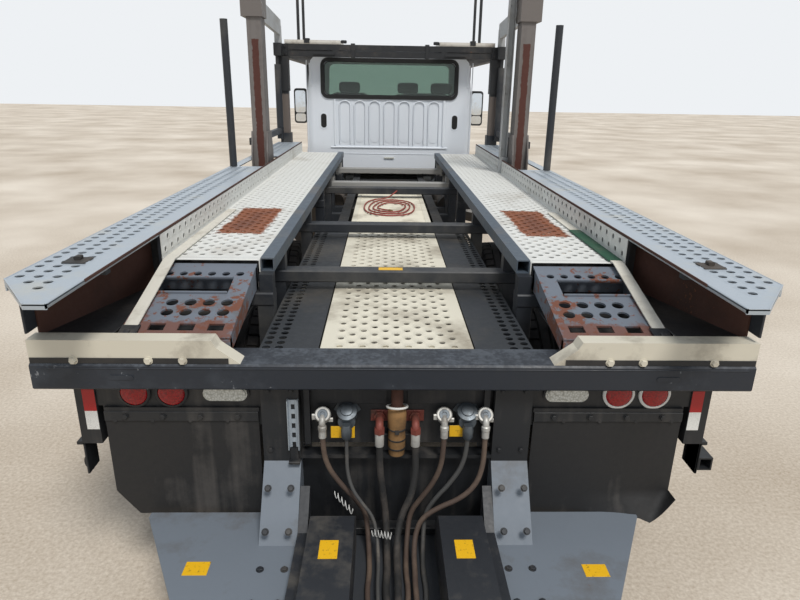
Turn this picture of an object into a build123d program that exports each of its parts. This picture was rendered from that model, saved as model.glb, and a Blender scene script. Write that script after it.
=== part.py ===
from build123d import *
import math
import os

os.makedirs("parts", exist_ok=True)

# Driving sizes of the truck, in millimetres. The front points to -Y and x = 0 is the centreline.
overall_length = 9600
overall_width = 2590
front_y = -overall_length / 2
tail_y = overall_length / 2
running_gap = 0.3
moving_gap = 6

# Stations along the truck
front_axle_y = front_y + 950
cab_front_y = front_y + 1320
cab_back_y = front_y + 2800
rack_rear_y = cab_back_y + 170
deck_front_y = cab_back_y + 180
tall_post_y = cab_back_y + 1950
side_pole_y = tall_post_y + 700
beam_rear_y = tail_y - 1150
drive_axle_spacing = 1300
drive_axle_ys = (beam_rear_y - 1000 - drive_axle_spacing, beam_rear_y - 1000)

# Heights
tyre_radius = 480
axle_z = tyre_radius
beam_top = 1070
beam_height = 100
frame_top = beam_top - beam_height
frame_height = 260
frame_bottom = frame_top - frame_height
plank_z = 1050
runway_z = 1280
walkway_z = 1400
rack_z = 2330
pole_length = 1070

# Wheels and their hubs
tyre_width = 262
rim_radius = 286
rim_wall = 14
front_track_x = 1030
inner_tyre_x = 762
outer_tyre_x = 1080
hub_radius = 110
spindle_radius = 36
knuckle_x = 930
kingpin_radius = 22

# Chassis frame
frame_outer_x = 430
frame_web = 9
frame_flange = 80
frame_front_y = front_y + 150
frame_rear_y = beam_rear_y - 120


def block(x, y, z, mode=Mode.ADD):
    """A straight block between two x, two y and two z limits."""
    with Locations(((x[0] + x[1]) / 2, (y[0] + y[1]) / 2, (z[0] + z[1]) / 2)):
        Box(abs(x[1] - x[0]), abs(y[1] - y[0]), abs(z[1] - z[0]), mode=mode)


def rod(start, end, radius, mode=Mode.ADD):
    """A round bar from one point to another."""
    way = Vector(*end) - Vector(*start)
    with BuildSketch(Plane(origin=start, z_dir=way)) as section:
        Circle(radius)
    extrude(section.sketch, amount=way.length, mode=mode)


def strut(start, end, width, height):
    """A square or flat bar from one point to another, its height upright."""
    way = Vector(*end) - Vector(*start)
    side = Vector(0, 0, 1).cross(way).normalized()
    with BuildSketch(Plane(origin=start, x_dir=side, z_dir=way)) as section:
        Rectangle(width, height)
    extrude(section.sketch, amount=way.length)


def side_plate(points, x, mode=Mode.ADD, radius=0):
    """A plate with a (y, z) outline between two x limits."""
    with BuildSketch(Plane.YZ.offset(min(x))) as outline:
        Polygon(*points, align=None)
        if radius:
            fillet(outline.vertices(), radius)
    extrude(outline.sketch, amount=abs(x[1] - x[0]), mode=mode)


def cross_plate(points, y, mode=Mode.ADD, radius=0):
    """A plate with an (x, z) outline between two y limits."""
    with BuildSketch(Plane.XZ.offset(-max(y))) as outline:
        Polygon(*points, align=None)
        if radius:
            fillet(outline.vertices(), radius)
    extrude(outline.sketch, amount=abs(y[1] - y[0]), mode=mode)


def flat_plate(points, z, mode=Mode.ADD, radius=0):
    """A plate with an (x, y) outline between two z limits."""
    with BuildSketch(Plane.XY.offset(min(z))) as outline:
        Polygon(*points, align=None)
        if radius:
            fillet(outline.vertices(), radius)
    extrude(outline.sketch, amount=abs(z[1] - z[0]), mode=mode)


def both_sides():
    """The same again on the other side of the centreline."""
    mirror(about=Plane.YZ)


# Frame: two channel rails joined by cross members, with cab pads and hood hinge horns
cross_member_ys = (
    frame_front_y + 155,
    cab_back_y - 360,
    cab_back_y + 60,
    tall_post_y,
    (drive_axle_ys[0] + tall_post_y) / 2,
    (drive_axle_ys[0] + drive_axle_ys[1]) / 2,
    frame_rear_y - 60,
)
cross_member_width = 110
cab_floor_z = 1020
cab_pad_ys = (cab_front_y + 270, cab_back_y - 120)
hood_pivot_y = front_y + 160
hood_pivot_z = 800
hood_pin_radius = 15
hood_pin_x = (330, 420)
horn_x = (380, 400)

with BuildPart() as frame:
    with BuildSketch(Plane.XZ.offset(-frame_rear_y)) as channel:
        with Locations((frame_outer_x - frame_flange / 2, (frame_top + frame_bottom) / 2)):
            Rectangle(frame_flange, frame_height)
        with Locations((frame_outer_x - frame_web - frame_flange / 2, (frame_top + frame_bottom) / 2)):
            Rectangle(frame_flange, frame_height - 2 * frame_web, mode=Mode.SUBTRACT)
    extrude(amount=frame_rear_y - frame_front_y)
    for pad_y in cab_pad_ys:
        block((frame_outer_x - frame_flange, frame_outer_x), (pad_y - 60, pad_y + 60), (frame_top, cab_floor_z))
    side_plate(
        [
            (frame_front_y + 200, frame_bottom + 20),
            (frame_front_y + 200, frame_top - 20),
            (hood_pivot_y + 40, hood_pivot_z + 34),
            (hood_pivot_y - 20, hood_pivot_z + 34),
            (hood_pivot_y - 20, frame_bottom + 20),
        ],
        (frame_outer_x - frame_web, frame_outer_x - frame_web - 24),
    )
    rod((hood_pin_x[0], hood_pivot_y, hood_pivot_z), (frame_outer_x - frame_web, hood_pivot_y, hood_pivot_z), hood_pin_radius)
    both_sides()
    for member_y in cross_member_ys:
        block(
            (-frame_outer_x + frame_web, frame_outer_x - frame_web),
            (member_y - cross_member_width / 2, member_y + cross_member_width / 2),
            (frame_bottom + 40, frame_top - 20),
        )
        block(
            (-frame_outer_x + frame_flange + 10, frame_outer_x - frame_flange - 10),
            (member_y - cross_member_width / 2, member_y + cross_member_width / 2 - 12),
            (frame_bottom + 52, frame_top - 32),
            mode=Mode.SUBTRACT,
        )

# Front bumper: a bent steel channel with swept ends, and its brackets to the rails
bumper_half = 1150
step_outer_x = 1190
bumper_bottom = 400
front_post_y = front_y + 190
front_post_x = overall_width / 2 - 55
outrigger_z = (430, 520)
outrigger_half = 45
bumper_top = 700
bumper_wall = 12
bumper_sweep = 90
bumper_depth = 50
fog_lamp_x = bumper_half - 450
fog_lamp_z = (bumper_top + bumper_bottom) / 2

with BuildPart() as front_bumper:
    outer = [
        (0, front_y),
        (bumper_half - 260, front_y),
        (bumper_half, front_y + bumper_sweep),
        (bumper_half, front_y + bumper_sweep + bumper_depth),
    ]
    inner = [
        (bumper_half - bumper_wall, front_y + bumper_sweep + bumper_depth),
        (bumper_half - bumper_wall, front_y + bumper_sweep + bumper_wall / 2),
        (bumper_half - 266, front_y + bumper_wall),
        (0, front_y + bumper_wall),
    ]
    flat_plate(outer + inner, (bumper_bottom, bumper_top))
    for flange_z in (bumper_bottom, bumper_top - bumper_wall):
        flat_plate(
            outer[:3] + [(bumper_half - 60, front_y + bumper_sweep + 20), (bumper_half - 280, front_y + 50), (0, front_y + 50)],
            (flange_z, flange_z + bumper_wall),
        )
    block(
        (frame_outer_x - 80, frame_outer_x),
        (front_y + bumper_wall, front_post_y - outrigger_half),
        (outrigger_z[0] + 10, outrigger_z[1] - 10),
    )
    rod((fog_lamp_x, front_y - 10, fog_lamp_z), (fog_lamp_x, front_y + 40, fog_lamp_z), 62, mode=Mode.SUBTRACT)
    both_sides()

# Front posts of the head rack: an outrigger under the bumper line and two square posts
front_post_top = 2150
front_collar_z = 1290
sleeve_gap = 5

with BuildPart() as front_posts:
    block((-front_post_x - 45, front_post_x + 45), (front_post_y - outrigger_half, front_post_y + outrigger_half), outrigger_z)
    block((frame_outer_x - 80, frame_outer_x), (front_post_y - outrigger_half, front_post_y + outrigger_half), (outrigger_z[1], frame_bottom))
    block((front_post_x - 30, front_post_x + 30), (front_post_y - 30, front_post_y + 30), (outrigger_z[1], front_post_top))
    block(
        (front_post_x - 43, front_post_x + 43),
        (front_post_y - 43, front_post_y + 43),
        (front_collar_z - 25, front_collar_z - running_gap),
    )
    both_sides()

# Front axle: a dropped beam with an eye and a kingpin at each end
axle_seat_x = 395
axle_eye_half = 50
axle_depth = 96
axle_top = 470
axle_drop = 110

with BuildPart() as front_axle:
    cross_plate(
        [
            (0, axle_top - axle_drop + 20),
            (560, axle_top - axle_drop + 20),
            (800, axle_z - 38),
            (knuckle_x, axle_z - 42),
            (knuckle_x, axle_z + 42),
            (790, axle_z + 40),
            (550, axle_top),
            (0, axle_top),
        ],
        (front_axle_y - axle_depth / 2, front_axle_y + axle_depth / 2),
    )
    for web_y in (front_axle_y - axle_depth / 2, front_axle_y + axle_depth / 2):
        block((0, 540), (web_y - 30, web_y + 30), (axle_top - axle_drop + 42, axle_top - 22), mode=Mode.SUBTRACT)
    rod((knuckle_x, front_axle_y, axle_z - axle_eye_half), (knuckle_x, front_axle_y, axle_z + axle_eye_half), 46)
    rod((knuckle_x, front_axle_y, axle_z - 105), (knuckle_x, front_axle_y, axle_z + 105), kingpin_radius)
    both_sides()

# Knuckles: a yoke round the kingpin, the wheel's spindle and the steering arm
yoke_z = axle_eye_half + running_gap
yoke_arm = 48
spindle_end_x = front_track_x + 105


def make_knuckle(side):
    """One steering knuckle, side +1 for the driver's side."""
    with BuildPart() as knuckle:
        for low, high in ((-yoke_z - yoke_arm, -yoke_z), (yoke_z, yoke_z + yoke_arm)):
            rod(
                (side * knuckle_x, front_axle_y, axle_z + low),
                (side * knuckle_x, front_axle_y, axle_z + high),
                44,
            )
            block(
                (side * knuckle_x, side * (knuckle_x + 78)),
                (front_axle_y - 42, front_axle_y + 42),
                (axle_z + low, axle_z + high),
            )
        block(
            (side * (knuckle_x + 54), side * (knuckle_x + 78)),
            (front_axle_y - 42, front_axle_y + 42),
            (axle_z - yoke_z - yoke_arm, axle_z + yoke_z + yoke_arm),
        )
        rod((side * (knuckle_x + 60), front_axle_y, axle_z), (side * spindle_end_x, front_axle_y, axle_z), spindle_radius)
        strut(
            (side * (knuckle_x - 10), front_axle_y + 30, axle_z - yoke_z - yoke_arm / 2),
            (side * (knuckle_x - 60), front_axle_y + 190, axle_z - yoke_z - yoke_arm / 2),
            34,
            30,
        )
        rod(
            (side * knuckle_x, front_axle_y, axle_z - 120),
            (side * knuckle_x, front_axle_y, axle_z + 120),
            kingpin_radius + running_gap,
            mode=Mode.SUBTRACT,
        )
    return knuckle


knuckles = {"left": make_knuckle(1), "right": make_knuckle(-1)}

# Drive line: two axle housings with bowl and pinion nose, and the shafts from the gearbox to them
housing_radius = 68
bowl_radius = 205
bowl_half = 120
pinion_reach = bowl_half + 210
shaft_radius = 52
shaft_z = 690
gearbox_end_y = cab_front_y + 900
rear_spindle_radius = 46
rear_spindle_end = outer_tyre_x + 60
rear_hub_inner = inner_tyre_x - 90


with BuildPart() as drive_line:
    for axle_y in drive_axle_ys:
        rod((-rear_hub_inner, axle_y, axle_z), (rear_hub_inner, axle_y, axle_z), housing_radius)
        rod((-rear_spindle_end, axle_y, axle_z), (rear_spindle_end, axle_y, axle_z), rear_spindle_radius)
        with BuildSketch(Plane.YZ) as bowl:
            with Locations((axle_y, axle_z)):
                Circle(bowl_radius)
        extrude(bowl.sketch, amount=bowl_half, both=True)
        with BuildSketch(Plane.YZ) as nose:
            Polygon(
                (axle_y, axle_z),
                (axle_y, axle_z + bowl_half),
                (axle_y - pinion_reach, axle_z + 75),
                (axle_y - pinion_reach, axle_z),
                align=None,
            )
        revolve(nose.sketch, axis=Axis((0, axle_y, axle_z), (0, 1, 0)))
    rod((0, gearbox_end_y + 30, shaft_z), (0, drive_axle_ys[0] - pinion_reach, axle_z + 20), shaft_radius)
    for joint_y, joint_z in ((gearbox_end_y + 40, shaft_z - 3), (drive_axle_ys[0] - pinion_reach - 40, axle_z + 23)):
        rod((0, joint_y - 40, joint_z), (0, joint_y + 38, joint_z), 70)
    rod((0, drive_axle_ys[0], axle_z + 10), (0, drive_axle_ys[1] - pinion_reach, axle_z + 20), shaft_radius)
    rod((0, drive_axle_ys[1] - pinion_reach - 78, axle_z + 20), (0, drive_axle_ys[1] - pinion_reach, axle_z + 20), 70)

# Suspension: front leaf packs with hangers, and a walking beam at each side of the drive axles
spring_x = (frame_outer_x - 76, frame_outer_x - 4)
spring_half = 640
spring_leaf = 44
spring_seat_z = axle_top + 14
beam_x = (455, 535)
trunnion_y = (drive_axle_ys[0] + drive_axle_ys[1]) / 2
walking_z = axle_z + housing_radius

with BuildPart() as suspension:
    with BuildSketch(Plane.YZ.offset(spring_x[0])) as leaves:
        with BuildLine():
            low = ThreePointArc(
                (front_axle_y - spring_half, spring_seat_z + 90),
                (front_axle_y, spring_seat_z),
                (front_axle_y + spring_half, spring_seat_z + 90),
            )
            Line(low @ 1, (front_axle_y + spring_half, spring_seat_z + 90 + 20))
            high = ThreePointArc(
                (front_axle_y + spring_half, spring_seat_z + 90 + 20),
                (front_axle_y, spring_seat_z + spring_leaf),
                (front_axle_y - spring_half, spring_seat_z + 90 + 20),
            )
            Line(high @ 1, low @ 0)
        make_face()
    extrude(amount=spring_x[1] - spring_x[0])
    block(spring_x, (front_axle_y - 60, front_axle_y + 60), (axle_top, spring_seat_z + 12))
    for end in (-1, 1):
        eye_y = front_axle_y + end * (spring_half + 6)
        rod((spring_x[0], eye_y, spring_seat_z + 104), (spring_x[1], eye_y, spring_seat_z + 104), 30)
        block(spring_x, (eye_y - 26, eye_y + 26), (spring_seat_z + 104, frame_bottom))
    side_plate(
        [
            (drive_axle_ys[0] - 90, walking_z),
            (drive_axle_ys[0] + 120, walking_z),
            (trunnion_y - 150, walking_z - 60),
            (trunnion_y + 150, walking_z - 60),
            (drive_axle_ys[1] - 120, walking_z),
            (drive_axle_ys[1] + 90, walking_z),
            (drive_axle_ys[1] + 70, walking_z + 70),
            (trunnion_y + 160, walking_z + 110),
            (trunnion_y - 160, walking_z + 110),
            (drive_axle_ys[0] - 70, walking_z + 70),
        ],
        beam_x,
    )
    side_plate(
        [
            (trunnion_y - 260, frame_top - 40),
            (trunnion_y + 260, frame_top - 40),
            (trunnion_y + 90, walking_z - 10),
            (trunnion_y - 90, walking_z - 10),
        ],
        (frame_outer_x, beam_x[0] + 30),
    )
    both_sides()
    rod((-beam_x[0], trunnion_y, walking_z + 66), (beam_x[0], trunnion_y, walking_z + 66), 40)

# Engine, gearbox and radiator: plain blocks carried between the rails
engine_y = (front_axle_y - 560, cab_front_y - 25)

with BuildPart() as engine:
    block((-330, 330), engine_y, (560, 1380))
    chamfer(engine.edges().filter_by(Axis.Y), 70)
    block((-200, 200), (engine_y[1], gearbox_end_y), (560, 900))
    block((-frame_outer_x + frame_web, frame_outer_x - frame_web), (engine_y[1] - 160, engine_y[1] - 60), (780, 860))
    block((-345, 345), (engine_y[0] - 110, engine_y[0] - 50), (frame_top - 20, 1330))
    block((-140, 140), (engine_y[0] - 50, engine_y[0]), (960, 1200))

# Cab: three outlines that cross give its form, hollowed to one wall thickness
cab_half = 990
cab_wall = 45
roof_z = 2390
belt_z = 1750
glass_depth = 14
screen_foot = (cab_front_y + 50, 1720)
screen_head = (cab_front_y + 530, 2350)
cab_side_outline = [
    (cab_back_y, cab_floor_z),
    (cab_back_y, roof_z - 6),
    (cab_back_y - 420, roof_z),
    screen_head,
    screen_foot,
    (cab_front_y, screen_foot[1] - 90),
    (cab_front_y, cab_floor_z),
]
cab_front_outline = [
    (-cab_half + 30, cab_floor_z),
    (-cab_half, cab_floor_z + 140),
    (-cab_half, belt_z),
    (-cab_half + 66, roof_z - 95),
    (-cab_half + 135, roof_z - 18),
    (0, roof_z + 4),
    (cab_half - 135, roof_z - 18),
    (cab_half - 66, roof_z - 95),
    (cab_half, belt_z),
    (cab_half, cab_floor_z + 140),
    (cab_half - 30, cab_floor_z),
]


def cab_form(inset):
    """The cab's closed form, drawn inwards by the inset."""
    with BuildPart() as form:
        with BuildSketch(Plane.YZ) as side:
            Polygon(*cab_side_outline, align=None)
            if inset:
                offset(amount=-inset, kind=Kind.INTERSECTION)
            fillet(side.vertices().filter_by_position(Axis.Y, roof_z - 60, roof_z + 10), 60)
        extrude(amount=cab_half + 10, both=True)
        with BuildSketch(Plane.XZ) as front:
            Polygon(*cab_front_outline, align=None)
            if inset:
                offset(amount=-inset, kind=Kind.INTERSECTION)
        extrude(amount=overall_length, both=True, mode=Mode.INTERSECT)
        with BuildSketch(Plane.XY) as plan:
            with Locations((0, (cab_front_y + cab_back_y) / 2)):
                Rectangle(2 * (cab_half - inset), cab_back_y - cab_front_y - 2 * inset)
            rear = plan.vertices().group_by(Axis.Y)[-1]
            nose = plan.vertices().group_by(Axis.Y)[0]
            fillet(rear, 90 - inset)
            fillet(nose, 190 - inset)
        extrude(amount=3 * roof_z, both=True, mode=Mode.INTERSECT)
    return form.part


cab_outer = cab_form(0)
cab_inner = cab_form(cab_wall)
cab_glass_inner = cab_form(glass_depth)

# Cab openings: door, door window, rear window and windscreen outlines
door_gap = 6
door_front_y = cab_front_y + 218
door_rear_y = cab_back_y - 330
door_outline = [
    (door_front_y, cab_floor_z + 50),
    (door_front_y, 1790),
    (door_front_y + 365, 2285),
    (door_rear_y - 60, 2295),
    (door_rear_y, 2230),
    (door_rear_y, cab_floor_z + 50),
]
door_window_outline = [
    (door_front_y + 80, 1740),
    (door_front_y + 80, 1815),
    (door_front_y + 388, 2225),
    (door_rear_y - 90, 2232),
    (door_rear_y - 70, 2200),
    (door_rear_y - 70, 1700),
    (door_front_y + 130, 1700),
]
rear_window_x = 775
rear_window_z = (1915, 2300)
screen_x = 830
screen_z = (screen_foot[1] + 45, screen_head[1] - 50)


def rear_window(grow, depth, mode):
    """The rear window's rounded opening, cut or kept through the back wall."""
    with BuildSketch(Plane.XZ.offset(-cab_back_y - 20)) as pane:
        with Locations((0, sum(rear_window_z) / 2)):
            RectangleRounded(2 * (rear_window_x + grow), rear_window_z[1] - rear_window_z[0] + 2 * grow, 90)
    extrude(pane.sketch, amount=depth, mode=mode)


def windscreen(grow, mode):
    """The windscreen's opening, seen from the front."""
    with BuildSketch(Plane.XZ.offset(-cab_front_y - 620)) as pane:
        Polygon(
            (-screen_x - grow, screen_z[0] - grow),
            (screen_x + grow, screen_z[0] - grow),
            (screen_x - 50 + grow, screen_z[1] + grow),
            (-screen_x + 50 - grow, screen_z[1] + grow),
            align=None,
        )
        fillet(pane.vertices(), 70)
    extrude(pane.sketch, amount=700, mode=mode)


vent_x = 780
vent_z = 1630
rib_count = 7
rib_pitch = 176
rib_z = (1385, 1855)
rib_rise = 9

# Door hinges: two pins on each side, outside the wall
hinge_x = cab_half + 14
hinge_y = door_front_y + 2
hinge_zs = (1230, 1640)
hinge_radius = 11

with BuildPart() as door_hinges:
    for hinge_z in hinge_zs:
        for low, high in ((hinge_z - 52, hinge_z - 31), (hinge_z + 31, hinge_z + 52)):
            block((cab_half - cab_wall / 2, hinge_x + 8), (hinge_y - 74, hinge_y - 13), (low, high))
            block((hinge_x - 8, hinge_x + 8), (hinge_y - 20, hinge_y), (low, high))
            rod((hinge_x, hinge_y, low), (hinge_x, hinge_y, high), hinge_radius)
        rod((hinge_x, hinge_y, hinge_z - 52), (hinge_x, hinge_y, hinge_z + 52), 6)
    both_sides()

with BuildPart() as cab:
    add(cab_outer)
    add(cab_inner, mode=Mode.SUBTRACT)
    rear_window(0, 200, Mode.SUBTRACT)
    windscreen(0, Mode.SUBTRACT)
    with BuildSketch(Plane.YZ) as door_cut:
        Polygon(*door_outline, align=None)
        fillet(door_cut.vertices(), 45)
        offset(amount=door_gap)
    extrude(door_cut.sketch, amount=cab_half + 50, both=True, mode=Mode.SUBTRACT)
    with BuildSketch(Plane.XZ.offset(-cab_back_y + 4)) as panel:
        with Locations((0, sum(rib_z) / 2)):
            Rectangle(rib_count * rib_pitch + 60, rib_z[1] - rib_z[0] + 90)
            with GridLocations(rib_pitch, 0, rib_count, 1):
                SlotOverall(rib_z[1] - rib_z[0], rib_pitch * 0.62, rotation=90, mode=Mode.SUBTRACT)
    extrude(panel.sketch, amount=-20, mode=Mode.SUBTRACT)
    for vent_side in (-1, 1):
        with BuildSketch(Plane.XZ.offset(-cab_back_y + 6)) as vent:
            with Locations((vent_side * vent_x, vent_z)):
                SlotOverall(150, 60, rotation=90)
        extrude(vent.sketch, amount=-20, mode=Mode.SUBTRACT)
    add(door_hinges.part)

with BuildPart() as cab_glass:
    add(cab_outer)
    add(cab_glass_inner, mode=Mode.SUBTRACT)
    with BuildPart(mode=Mode.PRIVATE) as panes:
        rear_window(-running_gap, 120, Mode.ADD)
        windscreen(-running_gap, Mode.ADD)
    add(panes.part, mode=Mode.INTERSECT)

# Doors: the wall inside the door outline, hung on two outside hinges


def make_door(side):
    """One door with its window cut, hinge knuckles and handle, side +1 for the driver's side."""
    reach = side * (cab_half + 60)
    with BuildPart() as door:
        with BuildSketch(Plane.YZ) as outline:
            Polygon(*door_outline, align=None)
            fillet(outline.vertices(), 45)
        extrude(outline.sketch, amount=reach)
        add(cab_outer, mode=Mode.INTERSECT)
        add(cab_inner, mode=Mode.SUBTRACT)
        with BuildSketch(Plane.YZ) as window:
            Polygon(*door_window_outline, align=None)
            fillet(window.vertices(), 30)
        extrude(window.sketch, amount=reach, mode=Mode.SUBTRACT)
        for hinge_z in hinge_zs:
            block((side * (cab_half - 8), side * (hinge_x - hinge_radius + 2)), (hinge_y + 14, hinge_y + 70), (hinge_z - 30, hinge_z + 30))
            block((side * (hinge_x - 6), side * (hinge_x + 6)), (hinge_y, hinge_y + 70), (hinge_z - 30, hinge_z + 30))
            block((side * (cab_half - 8), side * (hinge_x + 6)), (hinge_y + 50, hinge_y + 70), (hinge_z - 30, hinge_z + 30))
            rod((side * hinge_x, hinge_y, hinge_z - 30), (side * hinge_x, hinge_y, hinge_z + 30), hinge_radius)
            rod(
                (side * hinge_x, hinge_y, hinge_z - 31),
                (side * hinge_x, hinge_y, hinge_z + 31),
                6 + running_gap,
                mode=Mode.SUBTRACT,
            )
        handle_y = door_rear_y - 130
        for foot_y in (handle_y - 60, handle_y + 60):
            block((side * (cab_half - 6), side * (cab_half + 28)), (foot_y - 10, foot_y + 10), (1560, 1584))
        block((side * (cab_half + 16), side * (cab_half + 30)), (handle_y - 72, handle_y + 72), (1556, 1588))
    return door


def make_door_glass(side):
    """The window pane of one door."""
    with BuildPart() as pane:
        with BuildSketch(Plane.YZ) as outline:
            Polygon(*door_window_outline, align=None)
            fillet(outline.vertices(), 30)
            offset(amount=-running_gap)
        extrude(outline.sketch, amount=side * (cab_half + 60))
        add(cab_outer, mode=Mode.INTERSECT)
        add(cab_glass_inner, mode=Mode.SUBTRACT)
    return pane


doors = {"left": make_door(1), "right": make_door(-1)}
door_glass = {"left": make_door_glass(1), "right": make_door_glass(-1)}

# Mirrors: a tall head on two arms at each door's front edge
mirror_x = (cab_half + 120, cab_half + 290)
mirror_z = (1540, 1990)
mirror_y = door_front_y + 96


def make_mirror(side):
    """One mirror head and its arms."""
    with BuildPart() as mirror_part:
        with BuildSketch(Plane.XZ.offset(-mirror_y - 45)) as head:
            with Locations((side * sum(mirror_x) / 2, sum(mirror_z) / 2)):
                RectangleRounded(mirror_x[1] - mirror_x[0], mirror_z[1] - mirror_z[0], 40)
        extrude(amount=90)
        for arm_z in (mirror_z[0] + 50, mirror_z[0] + 170):
            rod((side * cab_half, mirror_y - 20, arm_z), (side * (mirror_x[0] + 20), mirror_y - 20, arm_z), 13)
    return mirror_part


mirrors = {"left": make_mirror(1), "right": make_mirror(-1)}

# Cab inside: two seats, the dashboard and the steering wheel
wheel_centre = (480, cab_front_y + 560, 1560)
wheel_radius = 215
grip_radius = 18
seat_floor = cab_floor_z + cab_wall
seat_y = (cab_front_y + 780, cab_back_y - 190)

with BuildPart() as seats:
    for seat_x, seat_half in ((480, 250), (-420, 400)):
        block((seat_x - seat_half + 40, seat_x + seat_half - 40), (seat_y[0] + 60, seat_y[1] - 40), (seat_floor, seat_floor + 260))
        block((seat_x - seat_half, seat_x + seat_half), seat_y, (seat_floor + 260, seat_floor + 400))
        side_plate(
            [
                (seat_y[1] - 130, seat_floor + 390),
                (seat_y[1], seat_floor + 390),
                (seat_y[1] + 60, seat_floor + 1010),
                (seat_y[1] - 30, seat_floor + 1010),
            ],
            (seat_x - seat_half, seat_x + seat_half),
        )

with BuildPart() as controls:
    side_plate(
        [
            (cab_front_y + cab_wall, 1300),
            (cab_front_y + 330, 1330),
            (cab_front_y + 420, 1560),
            (cab_front_y + 330, 1640),
            (cab_front_y + cab_wall, 1590),
        ],
        (-cab_half + 210, cab_half - 210),
    )

    wheel_plane = Plane(origin=wheel_centre, x_dir=(1, 0, 0), z_dir=(0, 0.55, 1))
    with BuildSketch(Plane(origin=wheel_centre, x_dir=(1, 0, 0), z_dir=wheel_plane.y_dir)) as grip:
        with Locations((wheel_radius, 0)):
            RegularPolygon(grip_radius, 6)
    revolve(grip.sketch, axis=Axis(wheel_centre, (0, 0.55, 1)))
    with Locations(wheel_plane):
        Cylinder(45, 40)
        Box(2 * wheel_radius - grip_radius, 34, 16)
    rod(wheel_centre, (wheel_centre[0], cab_front_y + 395, wheel_centre[2] - 300 * 0.4), 28)

# Hood: a tapered shell with its fenders, hinged low at the front
hood_wall = 26
hood_front_y = front_y + 105
hood_rear_y = cab_front_y - 12
hood_skirt_z = 1000
fender_x = (560, 1178)
fender_top_z = 1215
fender_bottom_z = bumper_top + 20
fender_front_y = hood_front_y + 20
fender_rear_y = hood_rear_y - 8
arch_radius = 560


def hood_form(inset):
    """The hood's body: a loft from the grille's section to the cowl's section."""
    with BuildPart() as form:
        for section_y, half, top, bottom in (
            (hood_front_y + inset, 600 - inset, 1395 - inset, 812),
            (hood_rear_y + (2 * inset), 948 - inset, 1716 - inset, 812),
        ):
            with BuildSketch(Plane.XZ.offset(-section_y)) as section:
                with BuildLine():
                    Polyline((half, top - 190), (half, bottom), (-half, bottom), (-half, top - 190))
                    RadiusArc((-half, top - 190), (-half + 170, top - 24), 180)
                    ThreePointArc((-half + 170, top - 24), (0, top), (half - 170, top - 24))
                    RadiusArc((half - 170, top - 24), (half, top - 190), 180)
                make_face()
        loft()
    return form.part


def fender_form(inset, side):
    """One fender's block, rounded along its top, before the arch is cut."""
    with BuildPart() as form:
        with BuildSketch(Plane.YZ.offset(side * (fender_x[1] - inset))) as outline:
            Polygon(
                (fender_front_y + inset, fender_bottom_z - 3 * inset),
                (fender_front_y + inset, fender_top_z - inset),
                (fender_rear_y - inset, fender_top_z - inset),
                (fender_rear_y - inset, fender_bottom_z - 3 * inset),
                align=None,
            )
            fillet(outline.vertices().group_by(Axis.Y)[-1], 120 - inset)
        extrude(amount=-side * (fender_x[1] - fender_x[0] - inset))
        outer_edge = form.faces().sort_by(Axis.X)[-1 if side > 0 else 0].edges()
        fillet(outer_edge.filter_by_position(Axis.Z, fender_top_z - inset - 130, fender_top_z + 10), 60 - inset)
    return form.part


hood_outer = hood_form(0)
hood_inner = hood_form(hood_wall)
fender_outers = [fender_form(0, side) for side in (-1, 1)]
fender_inners = [fender_form(hood_wall, side) for side in (-1, 1)]
grille_half = 400
grille_z = (880, 1270)
lamp_x = (690, 1010)
lamp_z = (900, 1060)

with BuildPart() as hood:
    add(hood_outer)
    add(fender_outers)
    add(hood_inner, mode=Mode.SUBTRACT)
    add(fender_inners, mode=Mode.SUBTRACT)
    block((-1300, 1300), (hood_rear_y - 4 * hood_wall, hood_rear_y + 10), (700, hood_skirt_z), mode=Mode.SUBTRACT)
    block((-560, 560), (hood_front_y + hood_wall + 4, hood_rear_y + 10), (700, 860), mode=Mode.SUBTRACT)
    rod((-1300, front_axle_y, axle_z), (1300, front_axle_y, axle_z), arch_radius, mode=Mode.SUBTRACT)
    with BuildSketch(Plane.XZ.offset(-hood_front_y - 60)) as grille_cut:
        with Locations((0, sum(grille_z) / 2)):
            RectangleRounded(2 * grille_half, grille_z[1] - grille_z[0], 60)
    extrude(grille_cut.sketch, amount=120, mode=Mode.SUBTRACT)
    for lamp_side in (-1, 1):
        with BuildSketch(Plane.XZ.offset(-hood_front_y - 60)) as lamp_cut:
            with Locations((lamp_side * sum(lamp_x) / 2, sum(lamp_z) / 2)):
                RectangleRounded(lamp_x[1] - lamp_x[0], lamp_z[1] - lamp_z[0], 50)
        extrude(lamp_cut.sketch, amount=120, mode=Mode.SUBTRACT)
    for lug_side in (-1, 1):
        rod(
            (lug_side * (hood_pin_x[0] + 4), hood_pivot_y, hood_pivot_z),
            (lug_side * (horn_x[0] - 10), hood_pivot_y, hood_pivot_z),
            34,
        )
        block(
            (lug_side * (hood_pin_x[0] + 4), lug_side * (horn_x[0] - 10)),
            (hood_front_y + 4, hood_pivot_y + 30),
            (hood_pivot_z, hood_pivot_z + 76),
        )
    rod((-500, hood_pivot_y, hood_pivot_z), (500, hood_pivot_y, hood_pivot_z), hood_pin_radius + running_gap, mode=Mode.SUBTRACT)


# Grille: a frame that fills the hood's opening, with its bars
grille_bars = 7
with BuildPart() as grille:
    with BuildSketch(Plane.XZ.offset(-hood_front_y - 20)) as surround:
        with Locations((0, sum(grille_z) / 2)):
            RectangleRounded(2 * grille_half - 0.6, grille_z[1] - grille_z[0] - 0.6, 60)
            RectangleRounded(2 * grille_half - 60, grille_z[1] - grille_z[0] - 60, 34, mode=Mode.SUBTRACT)
    extrude(amount=30)
    for bar_index in range(grille_bars):
        bar_z = grille_z[0] + 30 + (bar_index + 0.5) * (grille_z[1] - grille_z[0] - 60) / grille_bars
        block((-grille_half + 28, grille_half - 28), (hood_front_y + 2, hood_front_y + 16), (bar_z - 13, bar_z + 13))

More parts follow.
